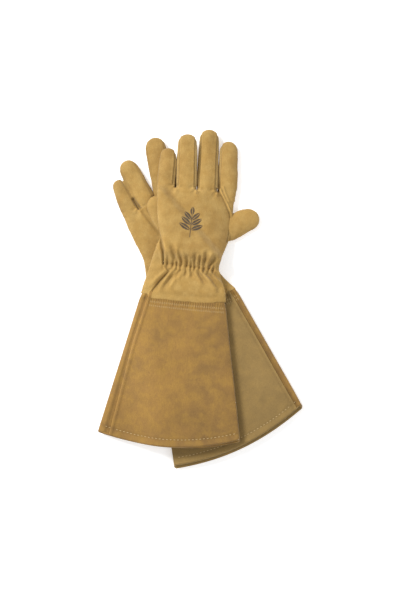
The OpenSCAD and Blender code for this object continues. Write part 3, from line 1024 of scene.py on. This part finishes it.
# Middle of the sprig, as a plan point
SPRIG_PLACE = (3.6, 56.6, 0.0)
# Leaves of the sprig: place along the stem, angle from the stem's side, length and half width
SPRIG_LEAVES = [(-11.5, 28, 17.5, 3.1), (-11.5, 152, 17.5, 3.1), (-5.0, 36, 16.5, 3.1),
                (-5.0, 144, 16.5, 3.1), (1.5, 46, 14.5, 2.9), (1.5, 134, 14.5, 2.9),
                (7.5, 90, 11.5, 2.7)]


def sprig_mask(tree, centre, turned):
    """Mask of the stamped leaf sprig, round a plan point given in the turned frame in metres."""
    group = leaf_group()
    local = add(tree, "ShaderNodeVectorMath", (-1100, 600), operation="SUBTRACT", in_1=(*centre, 0))
    tree.links.new(turned, local.inputs[0])
    flat = add(tree, "ShaderNodeVectorMath", (-950, 600), operation="MULTIPLY", in_1=(1, 1, 0))
    tree.links.new(local.outputs[0], flat.inputs[0])
    flat = flat.outputs[0]
    parts = add(tree, "ShaderNodeSeparateXYZ", (-800, 900))
    tree.links.new(flat, parts.inputs[0])
    side = math_node(tree, (-600, 900), "ABSOLUTE", parts.outputs["X"])
    stem = ranged(tree, (-450, 900), side, 0.0003, 0.00065, 1.0, 0.0)
    height = math_node(tree, (-600, 1050), "ABSOLUTE", math_node(
        tree, (-750, 1050), "ADD", parts.outputs["Y"], 0.006))
    inside = ranged(tree, (-450, 1050), height, 0.0143, 0.0147, 1.0, 0.0)
    total = math_node(tree, (-300, 900), "MULTIPLY", stem, inside)
    for i, (y, angle, length, width) in enumerate(SPRIG_LEAVES):
        leaf = add(tree, "ShaderNodeGroup", (-700, 600 - 60 * i), node_tree=group)
        leaf.inputs["Place"].default_value = (0, y * MM, 0)
        leaf.inputs["Angle"].default_value = -math.radians(angle)
        leaf.inputs["Length"].default_value = length * MM
        leaf.inputs["Width"].default_value = width * MM
        tree.links.new(flat, leaf.inputs["Vector"])
        total = math_node(tree, (-100, 600 - 60 * i), "MAXIMUM", total, leaf.outputs[0])
    worn = noise_node(tree, (-300, 1100), turned, 900, 2)
    worn = ranged(tree, (-100, 1100), worn, 0.25, 0.5, 0.45, 0.9)
    raw = add(tree, "ShaderNodeSeparateXYZ", (-300, 1300))
    tree.links.new(turned, raw.inputs[0])
    on_back = math_node(tree, (-100, 1300), "GREATER_THAN", raw.outputs["Z"], INK_ABOVE)
    made = math_node(tree, (100, 1100), "MULTIPLY", total, worn)
    return math_node(tree, (250, 1100), "MULTIPLY", made, on_back)


def thread_material(name, base):
    """Twisted cotton thread."""
    material = bpy.data.materials.new(name)
    material.use_nodes = True
    tree = material.node_tree
    shader = tree.nodes["Principled BSDF"]
    shader.inputs["Roughness"].default_value = 0.75
    shader.inputs["Sheen Weight"].default_value = 0.2
    coords = add(tree, "ShaderNodeTexCoord", (-900, 0)).outputs["Object"]
    patch = noise_node(tree, (-700, 0), coords, 900, 2)
    darker = tuple(v * 0.62 for v in base)
    patch = ranged(tree, (-500, 0), patch, 0.3, 0.7)
    made = mixed(tree, (-300, 100), "MIX", patch, rgba(base), rgba(darker))
    tree.links.new(made, shader.inputs["Base Color"])
    bump = add(tree, "ShaderNodeBump", (-300, -200), in_Strength=0.5, in_Distance=0.0002)
    tree.links.new(noise_node(tree, (-500, -200), coords, 2600, 1), bump.inputs["Height"])
    tree.links.new(bump.outputs[0], shader.inputs["Normal"])
    return material


def finishes():
    """The materials by name, made once."""
    found = {m.name: m for m in bpy.data.materials}
    if "hand_suede" in found:
        return found
    c = bpy.context.scene.glove_colours
    hand = [tuple(v) for v in (c.hand, c.hand_dark, c.hand_light)]
    cuff = [tuple(v) for v in (c.cuff, c.cuff_dark, c.cuff_light)]
    fork = tuple(c.fork)
    lower = tuple(c.lower_cuff)
    turn = TOP.turn
    middle = TOP.to_row(np.array(SPRIG_PLACE))
    cos, sin = math.cos(turn), math.sin(turn)
    ink = {"colour": tuple(c.ink),
           "centre": (float(middle[0] * cos + middle[1] * sin),
                      float(middle[1] * cos - middle[0] * sin))}
    made = (
        suede("hand_suede", *hand, turn),
        suede("hand_suede_stamped", *hand, turn, ink=ink),
        suede("lower_hand_suede", *hand, BOTTOM.turn, patches=0.75),
        suede("fork_suede", fork, hand[0], tuple(min(1, v * 1.12) for v in fork), turn, patches=0.3),
        suede("cuff_suede", *cuff, turn, patches=0.8, nap=0.7),
        suede("lower_cuff_suede", lower, tuple(v * 0.8 for v in lower),
              tuple(min(1, v * 1.2) for v in lower), BOTTOM.turn),
        thread_material("thread", tuple(c.thread)),
        thread_material("seam_thread", tuple(1.15 * v for v in c.cuff)),
    )
    return {material.name: material for material in made}


# --- Pieces of a hand on their bodies ---
# CAD nodes that each piece stands for, without the glove's name
STANDS_FOR = {
    "hand": ("hand_back", "hand_palm", "index_wing"),
    "skirt": ("skirt_back", "skirt_palm"),
    "index_stall": ("index_wrap",),
    "index_strip_far_side": ("index_fork",),
    "middle_stall": ("middle_back", "middle_palm"),
    "middle_strip_thumb_side": ("middle_fork_index",),
    "middle_strip_far_side": ("middle_fork_ring",),
    "ring_stall": ("ring_back", "ring_palm"),
    "ring_root_stall": ("ring_root",),
    "ring_strip_thumb_side": ("ring_fork_middle",),
    "ring_strip_far_side": ("ring_fork_little",),
    "little_stall": ("little_back", "little_palm"),
    "little_strip_thumb_side": ("little_fork",),
}
# Millimetres over which the leather bends at the wrist and at each knuckle; the script only makes plan
# points from them, which nothing reads
WRIST_BEND = 16
FINGER_BEND = 11


def bends(glove, name):
    """True for a piece of a finger that has its own joint."""
    finger = name.split("_")[0]
    free = FINGERS if glove.top else ("ring", "little")
    return finger in free and name != "ring_root_stall"


def place_pieces(glove, made):
    """Gives every piece of a hand its finish, hides the CAD nodes it stands for and rides every piece
    on the hand's body except the bending fingers and the top glove's skirt, which stay where they are.
    """
    finish = finishes()
    for name, obj in made.items():
        strip = "_strip_" in name
        obj.data.materials.append(finish["fork_suede" if strip and glove.top else glove.look])
        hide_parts(*(f"{glove.key}_{node}" for node in STANDS_FOR[name]))
        if bends(glove, name):
            finger = name.split("_")[0]
            f = FINGERS.index(finger)
            begin = RING_BEND_Y if not glove.top and f == RING else KNUCKLE
            middle = finger_line(glove, f, begin)
            glove.point(middle, begin)
            glove.point(middle, begin + FINGER_BEND)
            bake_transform(obj)
        elif name == "skirt" and glove.top:
            glove.point(0, 0)
            glove.point(0, -WRIST_BEND)
            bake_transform(obj)
        else:
            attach(obj, glove.hand_body)


def build_hand(glove):
    """One hand with its skirt and fingers, with the sprig stamped on the top one."""
    mesh, names = hand_body(glove, bpy.context.scene.glove_sizes)
    made = split(mesh, glove, names)
    place_pieces(glove, made)
    if glove.top:
        made["hand"].data.materials[0] = finishes()["hand_suede_stamped"]


def build_thumb(glove):
    """One set-in thumb. It lies on the floor, or folded over the palm of the bottom glove."""
    sizes = bpy.context.scene.glove_sizes
    bm = bmesh.new()
    places = [list(s) for s in spline(THUMB_PLACES[glove.key], 4)]
    loft(bm, places + rounded_end(places[-1]))
    mesh = fused(bm, sizes.voxel, glove.key + "_thumb_stall", lambda p: pressed(glove, p[:, 2]))
    p = points_of(mesh) / MM
    n = normals_of(mesh)
    lift = 0.5 * waves(p, 16, glove.seed + 4) + 0.22 * waves(p, 6, glove.seed + 6)
    edge = bell((np.abs(n[:, 2])) / 0.25)
    # Painted shade at the thumb's sides, with some random tone
    tone = -0.1 * edge + 0.05 * waves(p, 5, glove.seed + 7)
    lift += 0.25 * edge
    moved = p + n * lift[:, None]
    moved[:, 2] = np.maximum(0.1 if glove.top else HAND_H - 1.5, moved[:, 2])
    set_points(mesh, glove.to_row(moved))
    set_painted_light_and_tone(mesh, tone)
    smooth_shaded(mesh)
    obj = linked(mesh.name, mesh)
    obj.data.materials.append(finishes()[glove.look])
    if glove.top:
        glove.point(51, 51.5)
        glove.point(62, 51.5)
        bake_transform(obj)
    else:
        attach(obj, "lower_glove")
    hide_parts(f"{glove.key}_thumb_back", f"{glove.key}_thumb_front")


# --- Cuffs ---
# Width share of each lap seam at the cuff's seam, a third of the way down and at the open end
LAP_SHARES = {"upper": (-0.825, -0.87, -0.84), "lower": (0.85, 0.885, 0.915)}


def cuff_frame(glove, v):
    """Middle, width, thickness, heading and bow of a cuff at a share of its length."""
    x0, width0, slant = CUFF_TOPS[glove.key]
    return (x0 + (END_X - x0) * v, -SKIRT_L - 0.5 * (1 - v) - (CUFF_L - END_BOW) * v,
            width0 + (CUFF_END_W - width0) * v, HAND_H + (MOUTH_H - HAND_H) * v,
            np.radians(slant * v), END_BOW * v)


def cuff_point(glove, angle, v, inset):
    """Plan point of a cuff skin. Angle 90 degrees is the back of the hand on either glove."""
    turn = glove.upright(angle)
    cx, cy, width, thick, heading, bow = cuff_frame(glove, v)
    tuck = 1.3 * (1 - ease((v + 0.02) / 0.07))
    inset = inset + tuck
    a = (width - 2 * inset) / 2 * signed_pow(np.cos(turn), SIDE_POWER)
    b = (thick - 2 * inset) / 2 * signed_pow(np.sin(turn), CROWN_POWER)
    x = cx + a * np.cos(heading)
    y = cy + a * np.sin(heading) - bow * (1 - (2 * a / width) ** 2)
    lip = (1.6 + 1.8 * ease(a / 60)) if glove.top else 4.8
    y = y - (lip * (1 - faces_up(glove, angle)) - 1.0) * ease((v - 0.85) / 0.15)
    if glove.top:
        z = np.maximum(0.1 + inset, support(x, cy) + thick / 2 + b)
    else:
        z = np.maximum(0.05 + inset, -FLAT_DIP + thick / 2 + b)
    return np.stack([x, y, z], -1)


def faces_up(glove, angle):
    """1 on the side of a cuff that shows, 0 on the side it lies on."""
    return ease((np.sin(glove.upright(angle)) + 0.15) / 0.4)


def cuff_relief(glove, angle, v, p, sizes):
    """Height and painted light over a cuff: pleats under the seam, the hem's ridge and soft waves,
    lighter where they rise and darker where they sink, with a painted shadow under the hand leather's
    edge.
    """
    shown = faces_up(glove, angle)
    down = v * CUFF_L
    x = p[..., 0]
    flat = p.reshape(-1, 3)

    def ripple(scale, number, stretch=(1, 1, 1)):
        return waves(flat * np.array(stretch), scale, glove.seed + number).reshape(v.shape)

    slow, quick = ripple(42, 20), ripple(14, 21)
    lift = (0.9 * slow + 0.3 * quick) * ease(v / 0.12) * (0.4 + 0.6 * shown)
    pleat = np.cos(math.tau * (x / 3.1 + 0.3 * ripple(7, 22, (1, 0.25, 0.2))))
    near_seam = (1 - ease((down - 7) / 11)) * shown
    lift = lift + 0.3 * pleat * near_seam
    # Painted light on the pleats and the soft waves: lighter where they rise, darker where they sink
    tone = 0.11 * pleat * near_seam + 0.05 * slow + 0.04 * quick
    # Painted shadow in a band under the hand leather's edge, and darker towards the open end
    tone = tone - 0.22 * bell((down - 5.0) / 3.0) * shown - 0.08 * ease((v - 0.55) / 0.4)
    for row in (8.5, 13.5):
        lift = lift - 0.3 * bell((down - row) / 1.1) * shown
        # Painted shade in the dents of the two stitch rows
        tone = tone - 0.05 * bell((down - row) / 1.2) * shown
    hem = CUFF_L - STITCH_DOWN
    ridge = 0.45 + 0.25 * ripple(5, 25, (1, 0.2, 0.2))
    lift = lift + ridge * ease((down - hem - 1.5) / 2.5)
    crumple = ripple(4.5, 26, (1, 0.8, 0.2)) * ease((x - 52) / 28) * ease((down - hem + 8) / 8) * shown
    lift = lift + 0.7 * crumple - 0.45 * bell((down - hem) / 1.3) * shown
    # Painted light on the crumples at the hem
    tone = tone + 0.1 * crumple
    # Painted shade in the dent of the hem's stitching, painted highlight on the ridge below it
    tone = tone - 0.1 * bell((down - hem) / 1.4) + 0.07 * ease((down - hem - 2) / 3)
    # Lighter along the open end's edge, and painted shade on the side that lies down
    tone = tone + 0.12 * bell((down - CUFF_L) / 1.2) - 0.05 * (1 - shown)
    return lift, tone


def cuff_surface(glove, angle, v, inset, sizes):
    """Plan points of a finished cuff, pushed out along the section's own direction."""
    p = cuff_point(glove, angle, v, inset)
    lift, tone = cuff_relief(glove, angle, v, p, sizes)
    out = signed_pow(np.sin(glove.upright(angle)), CROWN_POWER)
    p = p + np.stack([0 * out, 0 * out, lift * out], -1)
    p[..., 2] = np.maximum(0.12 + inset, p[..., 2])
    return p, tone


def lap_share(glove, v):
    """Width share of the lap seam at a share of the cuff's length."""
    return np.interp(v, [0, 0.35, 1], LAP_SHARES[glove.key])


def cuff_panel(glove, name, angle_of, columns, rows, relief, upward, sizes):
    """One panel of a cuff, from a grid of points at angle_of(u, v) round it."""
    bm = bmesh.new()
    bmesh.ops.create_grid(bm, x_segments=columns, y_segments=rows, size=1)
    flat = np.array([vert.co for vert in bm.verts])
    u, v = (flat[:, 0] + 1) / 2, -0.025 + 1.025 * (flat[:, 1] + 1) / 2
    p, tone = cuff_surface(glove, angle_of(u, v), v, 0.0, sizes)
    p, tone = relief(u, v, p, tone)
    for vert, place in zip(bm.verts, glove.to_row(p)):
        vert.co = place
    bm.normal_update()
    facing = sum(f.normal.z * f.calc_area() for f in bm.faces)
    if (facing > 0) != upward:
        bmesh.ops.reverse_faces(bm, faces=bm.faces)
    mesh = mesh_from(bm, name)
    set_painted_light_and_tone(mesh, tone)
    smooth_shaded(mesh)
    obj = linked(name, mesh)
    wall = obj.modifiers.new("Leather", "SOLIDIFY")
    wall.thickness = sizes.leather
    wall.offset = -1
    wall.use_even_offset = False
    return obj


def build_cuff(glove):
    """Both panels, the turned hem and their finishes for one cuff.

    The face panel shows and its far edge laps over a strip of the under panel. The face is the
    back panel on the top glove and the palm panel on the bottom one.
    """
    sizes = bpy.context.scene.glove_sizes
    key = glove.key
    names = ("back", "palm") if glove.top else ("palm", "back")

    def face_angle(u, v):
        lap = lap_share(glove, v)
        return glove.facing(1 + (lap - 1) * u if glove.top else lap + (-1 - lap) * u)

    def under_angle(u, v):
        turned = np.clip(u / STRIP_SHARE, 0, 1)
        flat = at_share(1 - 2 * np.clip((u - STRIP_SHARE) / (1 - STRIP_SHARE), 0, 1))
        if glove.top:
            first = at_share(lap_share(glove, v) + 0.06)
            strip, rest = first + (math.pi - first) * turned, math.pi + flat
        else:
            first = at_share(lap_share(glove, v) - 0.05)
            strip, rest = math.tau - first * (1 - turned), flat
        return np.where(u < STRIP_SHARE, strip, rest)

    def face_relief(u, v, p, tone):
        gap = (1 - u if glove.top else u) * 100 * (1 + 0.7 * v)
        p[:, 2] += 0.9 * (1 - ease(gap / 7)) + 0.3 * bell((gap - 3) / 1.5)
        # Painted highlight along the lapped edge and painted shade in a band beside it
        return p, tone + 0.26 * bell(gap / 1.1) - 0.12 * bell((gap - 4.0) / 1.4)

    def under_relief(u, v, p, tone):
        near = u / STRIP_SHARE
        p[:, 2] -= 0.9 * (1 - ease((near - 0.25) / 0.2))
        # Painted shadow in a line beside the face panel's lapped edge; the rest of the strip a little
        # lighter
        return p, tone - 0.25 * bell((near - 0.33) / 0.1) + 0.05 * (near > 0.35) * (near < 1)

    face = cuff_panel(glove, f"{key}_cuff_{names[0]}_panel", face_angle, 170, 130, face_relief,
                      True, sizes)
    under = cuff_panel(glove, f"{key}_cuff_{names[1]}_panel", under_angle, 130, 100, under_relief,
                       False, sizes)
    hem = hem_band(glove, f"{key}_cuff_hem_fold", sizes)
    look = "cuff_suede" if glove.top else "lower_cuff_suede"
    for obj, node, finish in ((face, names[0], look), (under, names[1], "cuff_suede"),
                              (hem, "hem", look)):
        obj.data.materials.append(finishes()[finish])
        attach(obj, glove.cuff_body)
        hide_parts(f"{key}_cuff_{node}")


# Share of the cuff's length and depth below its outer face, along the hem fold's section
HEM_PROFILE = [(0.936, 2.9), (0.95, 2.7), (0.97, 2.6), (0.99, 2.55), (0.998, 2.3), (1.003, 1.8),
               (1.0045, 1.2), (1.003, 0.6), (0.9995, 0.15), (0.996, 0.6), (0.995, 1.3),
               (0.985, 1.4), (0.96, 1.45), (0.936, 1.6)]


def hem_band(glove, name, sizes):
    """The leather turned up inside the open end: a band with a rounded fold at the mouth."""
    around = 240
    bm = bmesh.new()
    bmesh.ops.create_cone(bm, cap_ends=False, segments=around, radius1=1, radius2=1, depth=1)
    upright = [e for e in bm.edges if abs(e.verts[0].co.z - e.verts[1].co.z) > 0.5]
    bmesh.ops.subdivide_edges(bm, edges=upright, cuts=len(HEM_PROFILE) - 2, use_grid_fill=False)
    flat = np.array([vert.co for vert in bm.verts])
    row = np.rint((flat[:, 2] + 0.5) * (len(HEM_PROFILE) - 1)).astype(int)
    angle = np.mod(np.arctan2(flat[:, 1], flat[:, 0]), math.tau)
    angle = np.where(angle <= math.pi, at_share(share_of(angle)),
                     math.tau - at_share(share_of(math.tau - angle)))
    v, inset = np.array(HEM_PROFILE)[row].T
    p, tone = cuff_surface(glove, angle, v, inset, sizes)
    for vert, place in zip(bm.verts, glove.to_row(p)):
        vert.co = place
    bmesh.ops.bridge_loops(bm, edges=[e for e in bm.edges if e.is_boundary])
    bmesh.ops.recalc_face_normals(bm, faces=bm.faces)
    mesh = mesh_from(bm, name)
    set_painted_light_and_tone(mesh, tone)
    smooth_shaded(mesh)
    return linked(name, mesh)


def share_of(angle):
    """Even steps across the width for even steps of angle from 0 to pi."""
    return np.cos(angle) * 0.35 + (1 - 2 * angle / math.pi) * 0.65


# --- Stitching ---
# Millimetres that the lap's stitching stands on the doubled leather
LAP_RISE = 0.75


def stitches(name, glove, places, size, finish="thread"):
    """Small rounded stitches of a length, width and height, each at a plan point and direction."""
    bm = bmesh.new()
    for p, ahead in places:
        row = Vector(glove.to_row(np.array(p)))
        x = (Vector(glove.to_row(np.array(p) + np.array(ahead))) - row).normalized()
        y = Vector((0, 0, 1)).cross(x).normalized()
        sides = (axis * length / 2 for axis, length in zip((x, y, x.cross(y)), size))
        turn = Matrix(tuple(sides)).transposed().to_4x4()
        bmesh.ops.create_icosphere(bm, subdivisions=1, radius=1,
                                   matrix=Matrix.Translation(row) @ turn)
    mesh = mesh_from(bm, name)
    smooth_shaded(mesh)
    obj = linked(name, mesh)
    obj.data.materials.append(finishes()[finish])
    return obj


def row_across(glove, down, first, last, pitch, sizes):
    """Stitch places across a cuff, a distance down from its seam, between two width shares."""
    v = down / CUFF_L
    width = cuff_frame(glove, v)[2]
    count = int((last - first) * width / 2 / pitch)
    shares = first + (np.arange(count) + 0.5) * (last - first) / count
    level = np.full(count, v)
    here, there = (cuff_surface(glove, glove.facing(shares + step), level, 0.0, sizes)[0]
                   for step in (0, 0.6 * pitch / width))
    here[:, 2] += 0.12
    there[:, 2] += 0.12
    return [(a, b - a) for a, b in zip(here, there)]


def row_down(glove, offset, first, last, pitch, sizes):
    """Stitch places down a cuff, an offset in millimetres from its lap seam."""
    count = int((last - first) / pitch)
    v = (first + (np.arange(count) + 0.5) * (last - first) / count) / CUFF_L

    def at(level):
        share = lap_share(glove, level) + offset / (cuff_frame(glove, level)[2] / 2)
        return cuff_surface(glove, glove.facing(share), level, 0.0, sizes)[0]

    here, there = at(v), at(v + 0.01)
    here[:, 2] += LAP_RISE
    there[:, 2] += LAP_RISE
    return [(a, b - a) for a, b in zip(here, there)]


def build_stitching(glove):
    """The hem's stitching, the two rows under the cuff's seam and the row beside the lap."""
    sizes = bpy.context.scene.glove_sizes
    long, pitch, thick = sizes.stitch_length, sizes.stitch_pitch / MM, sizes.thread
    hem = row_across(glove, CUFF_L - STITCH_DOWN, -0.93, 0.95, pitch, sizes)
    rows = (row_across(glove, 9.5, -0.74, 0.95, 2.5, sizes)
            + row_across(glove, 14.5, -0.75, 0.95, 2.5, sizes))
    slanted = [(p, np.array([0.5, -1, 0])) for p, ahead in rows]
    lap = row_down(glove, 3.0 if glove.top else -3.0, 4, CUFF_L - 14, 4.2, sizes)
    for name, places, size, finish in (
            ("hem", hem, (long, thick * 1.2, thick), "thread"),
            ("wrist", slanted, (long * 1.2, thick * 0.8, thick * 0.9), "thread"),
            ("lap", lap, (long * 0.75, thick * 0.8, thick), "seam_thread")):
        obj = stitches(f"{glove.key}_{name}_stitches", glove, places, size, finish)
        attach(obj, glove.cuff_body)
        if name != "lap":
            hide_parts(f"{glove.key}_{name}_stitching")


def build_gather(glove):
    """The elastic's thread where it shows in the gather."""
    thread = bpy.context.scene.glove_sizes.thread
    z = HAND_H * (0.93 if glove.top else 0.94) - 0.6
    places = []
    for y in (-2.2, 2.4):
        for x in (-26 + i * 3.05 for i in range(21)):
            base = float(support(np.array(x), np.array(y))) if glove.top else -FLAT_DIP
            places.append(((x, y - 0.02 * x, z + base), (1, 0, 0)))
    obj = stitches(f"{glove.key}_wrist_gather_thread", glove, places, (0.002, thread, thread))
    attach(obj, glove.hand_body)
    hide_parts(f"{glove.key}_wrist_elastic")


# --- Stage ---
def build_stage():
    """The pale floor, two soft lights, the studio's even light and the camera."""
    scene = bpy.context.scene
    bm = bmesh.new()
    bmesh.ops.create_grid(bm, x_segments=2, y_segments=2, size=FLOOR_SIZE)
    floor = linked("floor", mesh_from(bm, "floor"))
    material = bpy.data.materials.new("floor")
    material.use_nodes = True
    shader = material.node_tree.nodes["Principled BSDF"]
    shader.inputs["Base Color"].default_value = rgba(scene.glove_colours.floor)
    shader.inputs["Roughness"].default_value = 0.9
    shader.inputs["Emission Color"].default_value = WHITE
    shader.inputs["Emission Strength"].default_value = FLOOR_GLOW
    floor.data.materials.append(material)
    for name, (place, size, power) in LIGHTS.items():
        light = bpy.data.lights.new(name, "AREA")
        light.shape = "DISK"
        light.size = size
        light.energy = power
        lamp = linked(name, light)
        lamp.location = place
        lamp.rotation_euler = (-Vector(place)).to_track_quat("-Z", "Y").to_euler()
    world = bpy.data.worlds.new("studio")
    world.use_nodes = True
    background = world.node_tree.nodes["Background"]
    background.inputs[0].default_value = WHITE
    background.inputs[1].default_value = WORLD_LIGHT
    scene.world = world
    scene.view_settings.view_transform = "Standard"
    data = bpy.data.cameras.new("camera")
    data.lens = LENS
    camera = linked("camera", data)
    distance = HALF_VIEW / (data.sensor_width / 2 / data.lens)
    camera.location = (0.0, CAMERA_Y, distance + CAMERA_RISE)
    scene.camera = camera


# --- Operators, panel and registration ---
class GLOVES_OT_upper_hand(bpy.types.Operator):
    """Build the top glove's hand, skirt, fingers and thumb"""

    bl_idname = "gloves.upper_hand"
    bl_label = "Top hand"

    def execute(self, context):
        build_hand(TOP)
        build_thumb(TOP)
        return {"FINISHED"}


class GLOVES_OT_lower_hand(bpy.types.Operator):
    """Build the bottom glove's hand, skirt, fingers and folded thumb"""

    bl_idname = "gloves.lower_hand"
    bl_label = "Bottom hand"

    def execute(self, context):
        build_hand(BOTTOM)
        build_thumb(BOTTOM)
        return {"FINISHED"}


class GLOVES_OT_cuffs(bpy.types.Operator):
    """Build both cuffs with their lapped seams and turned hems"""

    bl_idname = "gloves.cuffs"
    bl_label = "Cuffs"

    def execute(self, context):
        for glove in (BOTTOM, TOP):
            build_cuff(glove)
        return {"FINISHED"}


class GLOVES_OT_stitching(bpy.types.Operator):
    """Sew the hems, cuff seams, lapped seams and wrist gathers"""

    bl_idname = "gloves.stitching"
    bl_label = "Stitching"

    def execute(self, context):
        for glove in (BOTTOM, TOP):
            build_stitching(glove)
            build_gather(glove)
        return {"FINISHED"}


class GLOVES_OT_stage(bpy.types.Operator):
    """Add the pale floor, the soft lights and the camera above the gloves"""

    bl_idname = "gloves.stage"
    bl_label = "Stage"

    def execute(self, context):
        build_stage()
        return {"FINISHED"}


STEPS = (GLOVES_OT_upper_hand, GLOVES_OT_lower_hand, GLOVES_OT_cuffs, GLOVES_OT_stitching,
         GLOVES_OT_stage)


class GLOVES_PT_panel(bpy.types.Panel):
    """Lists the building steps and their sizes and colours"""

    bl_idname = "GLOVES_PT_panel"
    bl_label = "Gardening gloves"
    bl_space_type = "VIEW_3D"
    bl_region_type = "UI"
    bl_category = "Gloves"

    def draw(self, context):
        for step in STEPS:
            self.layout.operator(step.bl_idname)
        for group in (context.scene.glove_sizes, context.scene.glove_colours):
            for name in group.__annotations__:
                self.layout.prop(group, name)


CLASSES = (GloveSizes, GloveColours, *STEPS, GLOVES_PT_panel)


def register():
    for cls in CLASSES:
        bpy.utils.register_class(cls)
    bpy.types.Scene.glove_sizes = bpy.props.PointerProperty(type=GloveSizes)
    bpy.types.Scene.glove_colours = bpy.props.PointerProperty(type=GloveColours)


def unregister():
    del bpy.types.Scene.glove_colours
    del bpy.types.Scene.glove_sizes
    for cls in reversed(CLASSES):
        bpy.utils.unregister_class(cls)


def main():
    register()
    bpy.ops.gloves.stage()
    bpy.ops.gloves.upper_hand()
    bpy.ops.gloves.lower_hand()
    bpy.ops.gloves.cuffs()
    bpy.ops.gloves.stitching()


if __name__ == "__main__":
    main()
